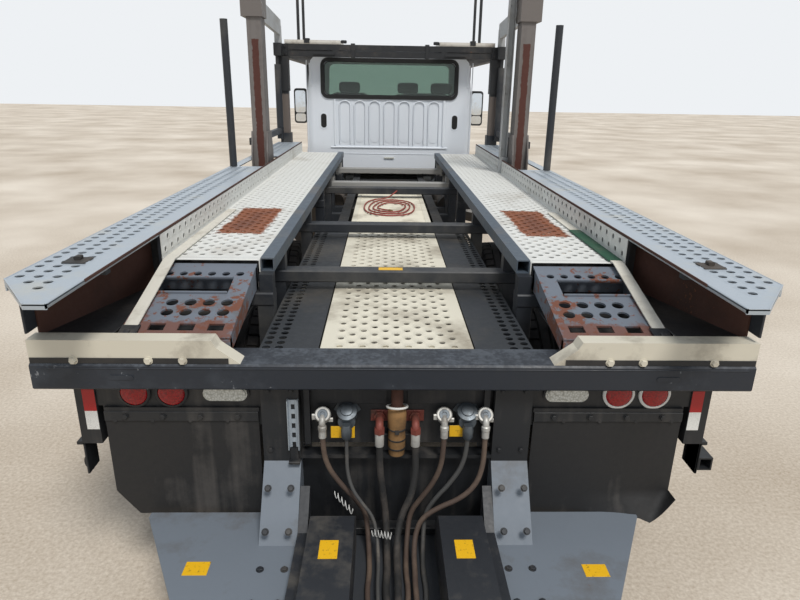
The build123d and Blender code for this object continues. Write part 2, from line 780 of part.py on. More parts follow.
with BuildPart() as head_lamps:
    for lamp_side in (-1, 1):
        with BuildSketch(Plane.XZ.offset(-hood_front_y - 60)) as lamp_face:
            with Locations((lamp_side * sum(lamp_x) / 2, sum(lamp_z) / 2)):
                RectangleRounded(lamp_x[1] - lamp_x[0] - 0.6, lamp_z[1] - lamp_z[0] - 0.6, 50)
        extrude(lamp_face.sketch, amount=52)

# Wheels: a tyre and a rim with its hub, each turned about the axle
tyre_half = tyre_width / 2
tyre_shoulder = 34
shoulder_half = 106
bead_half = 98
rim_half = 118
rim_lip = 300


def turned(points, centre_x, side, axle_y):
    """Turns an (x, radius) outline about an axle; x runs outboard from the tyre's centre."""
    plane = Plane(origin=(side * centre_x, axle_y, axle_z), x_dir=(side, 0, 0), z_dir=(0, 0, side))
    with BuildSketch(plane) as outline:
        Polygon(*points, align=None)
    revolve(outline.sketch, axis=Axis((0, axle_y, axle_z), (1, 0, 0)))


tyre_sides = 36


def tyre_section(centre_x, across, radius, side, axle_y):
    """A many-sided outline about the axle, a distance outboard of the tyre's centre."""
    place = Plane(origin=(side * (centre_x + across), axle_y, axle_z), x_dir=(0, 1, 0), z_dir=(1, 0, 0))
    with BuildSketch(place) as section:
        RegularPolygon(radius, tyre_sides)
    return section.sketch


def tyre_ring(centre_x, side, axle_y):
    """A tyre in flat sides: tread and shoulders, hollowed to leaning sidewalls and the bead."""
    bead = (rim_radius + running_gap) / math.cos(math.pi / tyre_sides)
    shoulder = tyre_radius - tyre_shoulder
    rings = (
        (-tyre_half, shoulder),
        (-shoulder_half, tyre_radius),
        (shoulder_half, tyre_radius),
        (tyre_half, shoulder),
    )
    loft([tyre_section(centre_x, across, radius, side, axle_y) for across, radius in rings], ruled=True)
    for way in (-1, 1):
        wall = ((way * bead_half, bead), (way * tyre_half, shoulder - 6))
        loft(
            [tyre_section(centre_x, across, radius, side, axle_y) for across, radius in wall],
            ruled=True,
            mode=Mode.SUBTRACT,
        )
    extrude(tyre_section(centre_x, 0, bead, side, axle_y), amount=bead_half + 1, both=True, mode=Mode.SUBTRACT)


def rim_ring(centre_x, side, axle_y):
    """A rim's barrel with a lip at each edge."""
    barrel = rim_radius - rim_wall
    turned(
        [
            (-rim_half, barrel),
            (rim_half, barrel),
            (rim_half, rim_lip),
            (rim_half - 6, rim_lip),
            (rim_half - 6, rim_radius),
            (-rim_half + 6, rim_radius),
            (-rim_half + 6, rim_lip),
            (-rim_half, rim_lip),
        ],
        centre_x,
        side,
        axle_y,
    )


def hand_holes(side, centre_x, axle_y, low, high, ring):
    """Five round holes through a wheel's disc, between two x limits."""
    for turn in range(5):
        angle = math.radians(72 * turn + 18)
        hole_y = axle_y + ring * math.cos(angle)
        hole_z = axle_z + ring * math.sin(angle)
        rod(
            (side * (centre_x + low), hole_y, hole_z),
            (side * (centre_x + high), hole_y, hole_z),
            30,
            mode=Mode.SUBTRACT,
        )


def make_front_wheel(side):
    """A front tyre, and the rim with its outward disc and hub."""
    with BuildPart() as tyre:
        tyre_ring(front_track_x, side, front_axle_y)
    bore = spindle_radius + running_gap
    hub_back = knuckle_x + 78 + moving_gap - front_track_x
    hub_front = spindle_end_x + running_gap - front_track_x
    with BuildPart() as rim:
        rim_ring(front_track_x, side, front_axle_y)
        turned(
            [
                (hub_back, bore),
                (hub_front, bore),
                (hub_front, 0),
                (hub_front + 22, 0),
                (hub_front + 22, 70),
                (72, 86),
                (66, 150),
                (40, rim_radius - rim_wall + 1),
                (24, rim_radius - rim_wall + 1),
                (52, 150),
                (52, hub_radius),
                (hub_back, hub_radius),
            ],
            front_track_x,
            side,
            front_axle_y,
        )
        hand_holes(side, front_track_x, front_axle_y, 20, 80, 212)
    return tyre, rim


def make_dual_wheel(side, axle_y):
    """A pair of tyres on one hub, and their rims with the hub and brake drum."""
    with BuildPart() as tyres:
        for centre_x in (inner_tyre_x, outer_tyre_x):
            tyre_ring(centre_x, side, axle_y)
    bore = rear_spindle_radius + running_gap
    middle_x = (inner_tyre_x + outer_tyre_x) / 2
    with BuildPart() as rims:
        for centre_x in (inner_tyre_x, outer_tyre_x):
            rim_ring(centre_x, side, axle_y)
        barrel = rim_radius - rim_wall + 1
        for way in (-1, 1):
            turned(
                [
                    (way * 0, hub_radius - 4),
                    (way * 0, 190),
                    (way * (outer_tyre_x - middle_x - 58), barrel),
                    (way * (outer_tyre_x - middle_x - 40), barrel),
                    (way * 14, 190),
                    (way * 14, hub_radius - 4),
                ],
                middle_x,
                side,
                axle_y,
            )
        hub_back = rear_hub_inner + moving_gap - middle_x
        hub_front = rear_spindle_end + running_gap - middle_x
        turned(
            [
                (hub_back, bore),
                (hub_front, bore),
                (hub_front, 0),
                (hub_front + 16, 0),
                (hub_front + 16, 88),
                (20, hub_radius),
                (-24, hub_radius),
                (-24, 204),
                (hub_back + 24, 212),
                (hub_back + 24, 190),
                (-44, 186),
                (-44, hub_radius),
                (hub_back, hub_radius),
            ],
            middle_x,
            side,
            axle_y,
        )
        hand_holes(side, middle_x, axle_y, 16, 80, 226)
    return tyres, rims


front_wheels = {"left": make_front_wheel(1), "right": make_front_wheel(-1)}
rear_wheels = {
    (axle_name, side_name): make_dual_wheel(side, axle_y)
    for axle_name, axle_y in zip(("front", "rear"), drive_axle_ys)
    for side_name, side in (("left", 1), ("right", -1))
}

# Fuel tanks: a round tank on each side under the doors, and the cab steps on them
tank_radius = 296
tank_x = 775
tank_z = 690
tank_y = (cab_front_y + 290, cab_back_y - 110)
step_y = (tank_y[0] + 60, tank_y[0] + 690)
step_zs = (430, 740)

with BuildPart() as fuel_tanks:
    rod((tank_x, tank_y[0], tank_z), (tank_x, tank_y[1], tank_z), tank_radius)
    chamfer(fuel_tanks.edges().filter_by(GeomType.CIRCLE), 24)
    for saddle_y in (tank_y[0] + 200, tank_y[1] - 200):
        block((frame_outer_x, tank_x - 180), (saddle_y - 40, saddle_y + 40), (tank_z - 330, tank_z - 180))
        block((frame_outer_x, tank_x - 230), (saddle_y - 40, saddle_y + 40), (tank_z - 330, frame_top - 20))
    for step_z in step_zs:
        block((tank_x + 120, step_outer_x), step_y, (step_z, step_z + 26))
    for plate_y in step_y:
        block((tank_x + 120, step_outer_x), (plate_y - 5, plate_y + 5), (step_zs[0], step_zs[1] + 26))
    both_sides()

# Exhaust canister, hydraulic tank and air tanks outside the rails, ahead of the drive axles
canister_y = (deck_front_y + 420, deck_front_y + 1320)
canister_x = -610
canister_z = 880
air_tank_y = (drive_axle_ys[0] - 1350, drive_axle_ys[0] - 650)
with BuildPart() as side_tanks:
    rod((canister_x, canister_y[0], canister_z), (canister_x, canister_y[1], canister_z), 130)
    rod((canister_x, canister_y[1] - 80, canister_z - 60), (canister_x - 460, canister_y[1] - 80, canister_z - 160), 45)
    for clamp_y in (canister_y[0] + 150, canister_y[1] - 150):
        block((-frame_outer_x, canister_x + 110), (clamp_y - 30, clamp_y + 30), (canister_z - 60, canister_z + 40))
    block((frame_outer_x + 30, 960), (deck_front_y + 400, deck_front_y + 1340), (520, 1000))
    fillet(side_tanks.solids().sort_by(Axis.X)[-1].edges().filter_by(Axis.Y), 50)
    for foot_y in (deck_front_y + 550, deck_front_y + 1150):
        block((frame_outer_x, frame_outer_x + 30), (foot_y - 40, foot_y + 40), (frame_bottom + 20, frame_top - 20))
    for air_side in (-1, 1):
        rod((air_side * 600, air_tank_y[0], 620), (air_side * 600, air_tank_y[1], 620), 118)
        for strap_y in (air_tank_y[0] + 150, air_tank_y[1] - 150):
            block((air_side * frame_outer_x, air_side * 500), (strap_y - 30, strap_y + 30), (600, frame_bottom + 120))

# Deck frame: cross tubes on brackets from the rails, posts under the runway rails, and side sills
sill_x = (overall_width / 2 - 265, overall_width / 2 - 253)
runway_rail_x = (540, 600)
runway_rail_z = (1225, 1285)
tube_z = (1085, 1145)
tube_depth = 90
deck_tube_ys = (
    deck_front_y + 330,
    tall_post_y - 350,
    tall_post_y,
    drive_axle_ys[0] + 200,
    drive_axle_ys[1] + 20,
)
ramp_bracket_y = beam_rear_y - 626
deck_bracket_ys = (deck_front_y + 120, side_pole_y, ramp_bracket_y)
load_plate_top = 1158
deck_rear_y = beam_rear_y + 250
runway_wall_z = 1220

with BuildPart() as deck_frame:
    for tube_y in deck_tube_ys + deck_bracket_ys:
        span = (runway_rail_x[0], sill_x[1])
        if tube_y in deck_tube_ys:
            span = (0, sill_x[1])
        if tube_y == tall_post_y:
            span = (0, overall_width / 2 - 20)
        block(span, (tube_y - tube_depth / 2, tube_y + tube_depth / 2), tube_z)
        if tube_y != ramp_bracket_y:
            block((runway_rail_x[0], sill_x[0]), (tube_y - 30, tube_y + 30), (tube_z[1], runway_wall_z))
        block((runway_rail_x[0], runway_rail_x[1] + 10), (tube_y - 40, tube_y + 40), (frame_bottom + 90, tube_z[0]))
        block((frame_outer_x, runway_rail_x[0]), (tube_y - 40, tube_y + 40), (frame_bottom + 90, frame_bottom + 190))
        block(runway_rail_x, (tube_y - 30, tube_y + 30), (tube_z[1], runway_rail_z[0]))
    block(sill_x, (deck_front_y, beam_rear_y - 180), (tube_z[1] - 10, walkway_z - 8))
    block(sill_x, (beam_rear_y - 181, deck_rear_y), (load_plate_top + 14, walkway_z - 8))
    block((sill_x[0], sill_x[1] + 50), (deck_front_y, beam_rear_y - 180), (tube_z[1] - 10, tube_z[1]))
    both_sides()

# Places that the walkways are cut round: the tall posts and the rack's guides
post_x = (overall_width / 2 - 205, overall_width / 2 - 85)
guide_x = overall_width / 2 - 95
guide_half = 60

# Walkways: folded plates outside the sills, cut back where the tall posts stand
walkway_outer_x = overall_width / 2
walkway_plate = 8
walkway_lip = 70
slot_front_y = tall_post_y - 160

with BuildPart() as walkways:
    walkway_outline = [
        (sill_x[0], slot_front_y),
        (post_x[1] + 15, slot_front_y),
        (post_x[1] + 15, side_pole_y - 90),
        (post_x[0] + 40, side_pole_y - 60),
        (sill_x[0], side_pole_y - 60),
        (sill_x[0], deck_rear_y + 40),
        (sill_x[0] + 70, deck_rear_y + 40),
        (walkway_outer_x, beam_rear_y + 40),
        (walkway_outer_x, deck_front_y),
        (sill_x[0], deck_front_y),
    ]
    flat_plate(walkway_outline, (walkway_z - walkway_plate, walkway_z))
    block((walkway_outer_x - 8, walkway_outer_x), (deck_front_y, beam_rear_y + 40), (walkway_z - walkway_lip, walkway_z))
    block((guide_x - guide_half - 10, guide_x + guide_half + 10), (rack_rear_y - guide_half - 10, rack_rear_y + guide_half + 10), (walkway_z - 30, walkway_z + 10), mode=Mode.SUBTRACT)
    both_sides()

# Runways: a ribbed tread plate with folded edges on each side, and the square rails inside them
runway_x = (runway_rail_x[1], sill_x[0] - 2)
runway_y = (deck_front_y - 30, beam_rear_y - 650)

with BuildPart() as runways:
    block(runway_x, runway_y, (runway_wall_z, runway_z))
    block((runway_x[0] + 8, runway_x[1] - 8), (runway_y[0] - 1, runway_y[1] + 1), (runway_wall_z - 1, runway_z - 8), mode=Mode.SUBTRACT)
    block(runway_rail_x, runway_y, runway_rail_z)
    block(
        (runway_rail_x[0] + 5, runway_rail_x[1] - 5),
        (runway_y[0] - 1, runway_y[1] + 1),
        (runway_rail_z[0] + 5, runway_rail_z[1] - 5),
        mode=Mode.SUBTRACT,
    )
    both_sides()

# Rear ramps: sloping plates from the runways down to the load beam, with holes and notches
ramp_x = (runway_rail_x[1] + 14, sill_x[0] - 3)
ramp_top = (runway_y[1] + 4, runway_z - 20)
ramp_foot = (beam_rear_y - 100, beam_top + 62)
ramp_length = math.hypot(ramp_foot[0] - ramp_top[0], ramp_top[1] - ramp_foot[1])
ramp_plane = Plane(
    origin=(sum(ramp_x) / 2, (ramp_top[0] + ramp_foot[0]) / 2, (ramp_top[1] + ramp_foot[1]) / 2),
    x_dir=(1, 0, 0),
    z_dir=(0, ramp_top[1] - ramp_foot[1], ramp_foot[0] - ramp_top[0]),
)

with BuildPart() as rear_ramps:
    with BuildSketch(ramp_plane) as ramp:
        Rectangle(ramp_x[1] - ramp_x[0], ramp_length)
        with Locations((20, -ramp_length * 0.16)):
            Rectangle(300, 120, mode=Mode.SUBTRACT)
        with Locations((0, ramp_length * 0.26)):
            with GridLocations(88, 76, 4, 1):
                Circle(25, mode=Mode.SUBTRACT)
    extrude(amount=-10)
    block(ramp_x, (ramp_top[0], ramp_top[0] + 40), (tube_z[1], ramp_top[1] - 20))
    block((ramp_x[0], ramp_x[1]), (ramp_foot[0] - 30, ramp_foot[0]), (beam_top, ramp_foot[1] - 6))
    for web_x in ((ramp_x[0], ramp_x[0] + 8), (ramp_x[1] - 8, ramp_x[1])):
        side_plate(
            [
                (ramp_top[0], tube_z[1]),
                (ramp_top[0], ramp_top[1] - 6),
                (ramp_foot[0], ramp_foot[1] - 6),
                (ramp_foot[0], beam_top),
                (ramp_bracket_y + tube_depth / 2, tube_z[1]),
            ],
            web_x,
        )
    both_sides()

# Tie straps: flat webbing on each runway, laid down over the ramp to a hook
strap_width = 50
strap_x = (ramp_x[1] - 62, ramp_x[1] - 62 + strap_width)
strap_y = (runway_y[0] + 3700, ramp_foot[0] - 60)
strap_thick = 5
strap_lift = 0.3

with BuildPart() as tie_straps:
    ramp_slope = (ramp_top[1] - ramp_foot[1]) / (ramp_foot[0] - ramp_top[0])
    foot_z = ramp_foot[1] + (ramp_foot[0] - strap_y[1]) * ramp_slope + 6
    side_plate(
        [
            (strap_y[0], runway_z + strap_lift),
            (runway_y[1] + 20, runway_z + strap_lift),
            (strap_y[1], foot_z),
            (strap_y[1], foot_z + strap_thick),
            (runway_y[1] + 20, runway_z + strap_lift + strap_thick),
            (strap_y[0], runway_z + strap_lift + strap_thick),
        ],
        strap_x,
    )
    both_sides()

# Centre planks: a lower tread plank between the rails, with flat plates beside it
plank_half = 300
plank_y = (drive_axle_ys[0] - 200, beam_rear_y - 170)
front_plank_y = (tall_post_y - 250, drive_axle_ys[0] - 260)

with BuildPart() as centre_deck:
    for way_y in (plank_y, front_plank_y):
        block((-plank_half, plank_half), way_y, (plank_z - 30, plank_z))
        block((-plank_half + 8, plank_half - 8), (way_y[0] - 1, way_y[1] + 1), (plank_z - 31, plank_z - 6), mode=Mode.SUBTRACT)
        for rest_y in (way_y[0] + 60, way_y[1] - 60):
            block((-plank_half, plank_half), (rest_y - 25, rest_y + 25), (frame_top - 12, plank_z - 6))
            block((-frame_outer_x + 10, frame_outer_x - 10), (rest_y - 25, rest_y + 25), (frame_top, frame_top + 14))
    block((plank_half + 6, runway_rail_x[0] - 6), plank_y, (plank_z - 14, plank_z - 6))
    for rest_y in (plank_y[0] + 200, sum(plank_y) / 2, plank_y[1] - 200):
        block((frame_outer_x - 70, frame_outer_x - 10), (rest_y - 25, rest_y + 25), (frame_top, plank_z - 14))
    both_sides()

# Rear beam across the tail, and the pale load plates bolted on its ends
beam_front_y = beam_rear_y - 160
load_plate_x = (560, walkway_outer_x)

with BuildPart() as rear_beam:
    block((-walkway_outer_x, walkway_outer_x), (beam_front_y, beam_rear_y), (frame_top, beam_top))
    chamfer(rear_beam.edges().filter_by(Axis.X), 7)
    for pad_side in (-1, 1):
        block(
            (pad_side * sill_x[0], pad_side * (sill_x[1] + 10)),
            (beam_front_y - 60, beam_front_y),
            (frame_top + 20, tube_z[1] - 10),
        )

with BuildPart() as load_plates:
    cross_plate(
        [
            (load_plate_x[0], beam_top),
            (load_plate_x[0] + 80, beam_top + 60),
            (load_plate_x[0] + 96, load_plate_top),
            (load_plate_x[1], load_plate_top),
            (load_plate_x[1], beam_top),
        ],
        (beam_rear_y - 78, beam_rear_y - 8),
    )
    both_sides()

# Rear wall: centre plate, pilasters, ledge, lamp panels and the outer side boxes
wall_y = frame_rear_y
pilaster_x = (367, 508)
pilaster_bottom = 640
lamp_panel_z = 860
side_box_x = (overall_width / 2 - 171, overall_width / 2 - 95)
flap_x = (pilaster_x[1] + 14, overall_width / 2 - 195)
flap_z = (376, lamp_panel_z - 2)
lamp_span = flap_x[1] - pilaster_x[1]
lamp_height = lamp_panel_z + 56
lamp_rows = ((0.7973, "round"), (0.5642, "round"), (0.2264, "oval"))

with BuildPart() as rear_wall:
    block((0, pilaster_x[0]), (wall_y, wall_y + 10), (frame_bottom - 20, frame_top))
    block((0, pilaster_x[0]), (wall_y, wall_y + 60), (frame_bottom - 60, frame_bottom - 46))
    block(pilaster_x, (wall_y, wall_y + 62), (pilaster_bottom, frame_top))
    block((pilaster_x[1], side_box_x[1]), (wall_y + 20, wall_y + 30), (lamp_panel_z, frame_top))
    block((pilaster_x[1], flap_x[1] + 4), (wall_y + 6, wall_y + 30), (lamp_panel_z - 80, lamp_panel_z))
    block(side_box_x, (wall_y - 130, wall_y + 36), (700, frame_top))
    both_sides()

with BuildPart() as tail_lamps:
    for lamp_share, lamp_shape in lamp_rows:
        with BuildSketch(Plane.XZ.offset(-wall_y - 30 - 12)) as lens:
            with Locations((pilaster_x[1] + lamp_share * lamp_span, lamp_height)):
                if lamp_shape == "round":
                    Circle(53)
                else:
                    SlotOverall(172, 66)
        extrude(lens.sketch, amount=12)
    both_sides()

with BuildPart() as mud_flaps:
    cross_plate(
        [
            (flap_x[0], flap_z[0]),
            (flap_x[1] - 70, flap_z[0]),
            (flap_x[1], flap_z[0] + 110),
            (flap_x[1], flap_z[1]),
            (flap_x[0], flap_z[1]),
        ],
        (wall_y + 30, wall_y + 38),
    )
    both_sides()

# Hitch frame: drop legs, low arms, a tray between them and the coupling plate at the tail
arm_top = 400
arm_bottom = 250
arm_end_y = tail_y - 420
coupling_radius = 25.4
coupling_centre_y = tail_y - 190
coupling_top = 452

with BuildPart() as hitch_frame:
    side_plate(
        [
            (wall_y - 330, frame_bottom),
            (wall_y, frame_bottom),
            (wall_y, pilaster_bottom),
            (wall_y + 62, pilaster_bottom),
            (wall_y + 250, arm_top),
            (arm_end_y, arm_top),
            (arm_end_y, arm_bottom),
            (wall_y - 10, arm_bottom),
            (wall_y - 330, frame_bottom - 150),
        ],
        pilaster_x,
    )
    flat_plate(
        [
            (pilaster_x[1], wall_y + 60),
            (965, wall_y + 60),
            (965, wall_y + 90),
            (600, arm_end_y - 60),
            (pilaster_x[1], arm_end_y - 60),
        ],
        (arm_top - 12, arm_top),
    )
    side_plate([(wall_y + 90, arm_top - 12), (arm_end_y - 100, arm_top - 12), (wall_y + 90, arm_bottom + 20)], (pilaster_x[1], pilaster_x[1] + 10))
    both_sides()
    block((-pilaster_x[0], pilaster_x[0]), (wall_y + 30, arm_end_y), (arm_bottom + 30, arm_bottom + 42))
    block((-pilaster_x[1], pilaster_x[1]), (arm_end_y - 120, arm_end_y), (arm_bottom, arm_top + 20))
    flat_plate(
        [
            (-330, arm_end_y),
            (-330, coupling_centre_y - 60),
            (-250, tail_y - 60),
            (-130, tail_y),
            (-40, coupling_centre_y + 60),
            (40, coupling_centre_y + 60),
            (130, tail_y),
            (250, tail_y - 60),
            (330, coupling_centre_y - 60),
            (330, arm_end_y),
        ],
        (coupling_top - 40, coupling_top),
    )
    block((-330, 330), (arm_end_y - 120, arm_end_y), (arm_top + 20, coupling_top))
    for rib_x in (-220, 220):
        side_plate(
            [(arm_end_y, arm_bottom + 20), (arm_end_y, coupling_top - 40), (tail_y - 120, coupling_top - 40)],
            (rib_x - 15, rib_x + 15),
        )
    rod((0, coupling_centre_y, coupling_top - 60), (0, coupling_centre_y, coupling_top + 10), coupling_radius, mode=Mode.SUBTRACT)

# Hitch covers between the arms
tray_top = arm_bottom + 42
cover_x = (155, 320)
cover_y = (wall_y + 120, arm_end_y - 130)
cover_top = 500

with BuildPart() as hitch_covers:
    side_plate(
        [
            (cover_y[0], tray_top),
            (cover_y[0], cover_top - 70),
            (cover_y[0] + 90, cover_top),
            (cover_y[1], cover_top),
            (cover_y[1], tray_top),
        ],
        cover_x,
    )
    both_sides()

# Couplings on the rear wall for air, power and oil
coupling_z = 812
# Each fitting's place across the wall, and its kind
coupling_row = (
    (-334, "air"),
    (-178, "air"),
    (280, "air"),
    (-267, "plug"),
    (190, "plug"),
    (66, "oil"),
    (-70, "oil"),
)

outlet_y = wall_y + 85
outlet_z = coupling_z - 30
fitting_sizes = {"air": (14, 24), "plug": (28, 16), "oil": (17, 20)}

with BuildPart() as couplings:
    for fitting_x, shape in coupling_row:
        stem_radius, outlet_radius = fitting_sizes[shape]
        rod((fitting_x, wall_y + 10, coupling_z), (fitting_x, outlet_y, coupling_z), stem_radius)
        rod((fitting_x, outlet_y, outlet_z), (fitting_x, outlet_y, coupling_z + 18), outlet_radius)
        if shape == "plug":
            block((fitting_x - 38, fitting_x + 38), (wall_y + 10, wall_y + 18), (coupling_z - 34, coupling_z + 34))
    rod((0, wall_y + 50, frame_bottom - 46), (0, wall_y + 50, frame_top), 24)
    block((-30, 30), (wall_y + 10, wall_y + 50), (frame_top - 60, frame_top - 30))

# Hoses: each hangs from its fitting, bends on to the tray and runs back into the arms' cross block
hose_end_y = arm_end_y - 121
hose_routes = {
    "hose_air_left": (
        20,
        [(280, 706), (262, 625), (213, 548), (158, 482), (118, 417)],
        [(108, 3655, 347), (102, 3725, 304), (99, 3812, 304), (106, 3900, 304), (98, 3985, 304)],
    ),
    "hose_oil": (
        26,
        [(66, 700), (63, 612), (52, 515), (40, 417)],
        [(36, 3655, 347), (34, 3725, 307), (33, 3812, 307), (40, 3900, 307), (32, 3985, 307)],
    ),
    "hose_air_right": (
        20,
        [(-178, 706), (-170, 625), (-140, 548), (-95, 482), (-55, 417)],
        [(-45, 3655, 347), (-39, 3725, 304), (-36, 3812, 304), (-43, 3900, 304), (-35, 3985, 304)],
    ),
    "cable_power": (
        18,
        [(-267, 706), (-250, 624), (-204, 547), (-152, 481), (-116, 417)],
        [(-108, 3655, 347), (-103, 3725, 303), (-100, 3812, 303), (-107, 3900, 303), (-99, 3985, 303)],
    ),
}
hose_exits = {"hose_air_left": 280, "hose_oil": 66, "hose_air_right": -178, "cable_power": -267}


def make_hose(name):
    """A round hose along straight runs, with an arc at each corner as wide as the shorter run allows."""
    diameter, drop, floor_run = hose_routes[name]
    points = [Vector(hose_exits[name], outlet_y, outlet_z)]
    points += [Vector(x, outlet_y, z) for x, z in drop]
    points += [Vector(*point) for point in floor_run]
    points.append(Vector(floor_run[-1][0] - 4, hose_end_y, floor_run[-1][2]))
    edges = []
    start = points[0]
    tightest = overall_length
    for before, corner, after in zip(points, points[1:], points[2:]):
        entry = (before - corner).normalized()
        leave = (after - corner).normalized()
        reach = 0.45 * min((before - corner).length, (after - corner).length)
        half_turn = math.radians(180 - entry.get_angle(leave)) / 2
        tightest = min(tightest, reach / math.tan(half_turn))
        first = corner + entry * reach
        last = corner + leave * reach
        edges.append(Line(start, first))
        edges.append(TangentArc(first, last, tangent=corner - first))
        start = last
    edges.append(Line(start, points[-1]))
    print(name, "tightest bend", round(tightest), "mm, diameter", diameter)
    with BuildPart() as hose:
        with BuildSketch(Plane(origin=points[0], z_dir=(0, 0, -1))):
            Circle(diameter / 2)
        sweep(path=Wire(edges))
    return hose


hoses = {name: make_hose(name) for name in hose_routes}

# Side poles on the walkways
side_pole_x = overall_width / 2 - 45
side_pole_radius = 28
with BuildPart() as side_poles:
    rod((side_pole_x, side_pole_y, walkway_z), (side_pole_x, side_pole_y, walkway_z + pole_length), side_pole_radius)
    both_sides()

# Tall posts: square tubes on the deck's cross tube, with side brackets at their feet
post_y = (tall_post_y - 90, tall_post_y + 90)
post_top = 3450
post_wall = 9

with BuildPart() as tall_posts:
    block(post_x, post_y, (tube_z[1], post_top))
    block(
        (post_x[0] + post_wall, post_x[1] - post_wall),
        (post_y[0] + post_wall, post_y[1] - post_wall),
        (tube_z[1] + 40, post_top - 6),
        mode=Mode.SUBTRACT,
    )
    for plate_x in ((post_x[0] - 12, post_x[0]), (post_x[1], post_x[1] + 12)):
        side_plate(
            [
                (post_y[0] - 60, tube_z[1]),
                (post_y[1] + 60, tube_z[1]),
                (post_y[1] + 50, walkway_z + 60),
                (post_y[1], walkway_z + 230),
                (post_y[0], walkway_z + 230),
                (post_y[0] - 50, walkway_z + 60),
            ],
            plate_x,
        )
    both_sides()

# Rack guides: fixed sleeves behind the cab, the lift cylinders and the tie bars to the tall posts
slide_half = 45
guide_z = (800, 1500)
cylinder_x = overall_width / 2 - 43
cylinder_y = rack_rear_y + 118
cylinder_radius = 36
cylinder_bore = 25
lift_rod_radius = 20
cylinder_z = (1560, 2240)
tie_z = (1500, 1560)

with BuildPart() as rack_guides:
    block((guide_x - guide_half, guide_x + guide_half), (rack_rear_y - guide_half, rack_rear_y + guide_half), guide_z)
    block(
        (guide_x - slide_half - sleeve_gap, guide_x + slide_half + sleeve_gap),
        (rack_rear_y - slide_half - sleeve_gap, rack_rear_y + slide_half + sleeve_gap),
        (guide_z[0] + 20, guide_z[1] + 1),
        mode=Mode.SUBTRACT,
    )
    block((frame_outer_x, guide_x - guide_half), (rack_rear_y - 45, rack_rear_y + 45), (guide_z[0] + 10, guide_z[0] + 120))
    block((cylinder_x - 30, cylinder_x + 30), (rack_rear_y + guide_half, cylinder_y + 40), (guide_z[1] - 60, tie_z[1]))
    block((cylinder_x - 24, cylinder_x + 24), (cylinder_y + 40, post_y[0] - 60), tie_z)
    block((post_x[1] + 12, cylinder_x + 24), (post_y[0] - 60, post_y[0] + 30), tie_z)
    rod((cylinder_x, cylinder_y, tie_z[1]), (cylinder_x, cylinder_y, cylinder_z[1]), cylinder_radius)
    rod((cylinder_x, cylinder_y, cylinder_z[0] + 40), (cylinder_x, cylinder_y, cylinder_z[1] + 5), cylinder_bore, mode=Mode.SUBTRACT)
    both_sides()

# Head rack frame: doubled rear tube, side rails, cross tubes over the cab, sleeves and slides
rack_tube = 60
rack_top = rack_z + 130
rack_rail_x = (front_post_x - 40, front_post_x + 44)
rack_front_y = front_post_y - 60
rack_cross_ys = (rack_front_y + 30, front_post_y + 700, cab_front_y + 340, cab_back_y - 500)
rack_pole_ys = (front_axle_y + 300, front_axle_y - 300)
rack_pole_x = front_post_x + 6
slide_bottom = guide_z[0] + 20 + running_gap

with BuildPart() as rack_frame:
    for low, high in ((rack_z, rack_z + rack_tube), (rack_top - rack_tube, rack_top)):
        block((0, walkway_outer_x), (rack_rear_y - rack_tube / 2, rack_rear_y + rack_tube / 2), (low, high))
    for web_x in (610, guide_x - 20):
        block((web_x - 30, web_x + 30), (rack_rear_y - 30, rack_rear_y + 30), (rack_z, rack_top))
    block(rack_rail_x, (rack_front_y, cylinder_y + 40), (rack_z, rack_top))
    for pole_y in rack_pole_ys:
        rod((rack_pole_x, pole_y, rack_top), (rack_pole_x, pole_y, rack_top + pole_length), 20)
    for cross_y in rack_cross_ys:
        block((0, rack_rail_x[0]), (cross_y - 30, cross_y + 30), (rack_top - 48, rack_top))
    block((guide_x - slide_half, guide_x + slide_half), (rack_rear_y - slide_half, rack_rear_y + slide_half), (slide_bottom, rack_z))
    block((guide_x - 56, guide_x + 56), (rack_rear_y - 56, rack_rear_y + 56), (1960, rack_z))
    rod((cylinder_x, cylinder_y, cylinder_z[0] + 60), (cylinder_x, cylinder_y, rack_z), lift_rod_radius)
    block(
        (front_post_x - 43, front_post_x + 43),
        (front_post_y - 43, front_post_y + 43),
        (front_collar_z, rack_z),
    )
    block(
        (front_post_x - 30 - sleeve_gap, front_post_x + 30 + sleeve_gap),
        (front_post_y - 30 - sleeve_gap, front_post_y + 30 + sleeve_gap),
        (front_collar_z - 1, front_post_top + sleeve_gap),
        mode=Mode.SUBTRACT,
    )
    both_sides()

# Rack runways over the cab, and the beams back to the tall posts
rack_runway_x = (556, rack_rail_x[0] - 20)

with BuildPart() as rack_runways:
    block(rack_runway_x, (rack_front_y, rack_rear_y + 30), (rack_top, rack_top + 45))
    block((rack_runway_x[0] + 10, rack_runway_x[1] - 10), (rack_front_y - 1, rack_rear_y + 31), (rack_top - 1, rack_top + 39), mode=Mode.SUBTRACT)
    both_sides()

carriage_gap = 5
beam_plate_x = rack_rail_x[1] - 34
carriage_wall = 12
carriage_z = (2550, 2870)
column_y = (rack_rear_y + 40, rack_rear_y + 110)
with BuildPart() as rack_beams:
    block((rack_rail_x[0] + 6, rack_rail_x[1] - 8), column_y, (rack_top, 2640))
    side_plate(
        [
            (column_y[0], 2540),
            (column_y[0], 2700),
            (post_y[0] - carriage_gap - carriage_wall, 2800),
            (post_y[0] - carriage_gap - carriage_wall, 2620),
        ],
        (beam_plate_x - 40, beam_plate_x),
    )
    block(
        (post_x[0] - carriage_gap - carriage_wall, beam_plate_x),
        (post_y[0] - carriage_gap - carriage_wall, post_y[1] + carriage_gap + carriage_wall),
        carriage_z,
    )
    block(
        (post_x[0] - carriage_gap, post_x[1] + carriage_gap),
        (post_y[0] - carriage_gap, post_y[1] + carriage_gap),
        (carriage_z[0] - 1, carriage_z[1] + 1),
        mode=Mode.SUBTRACT,
    )
    both_sides()

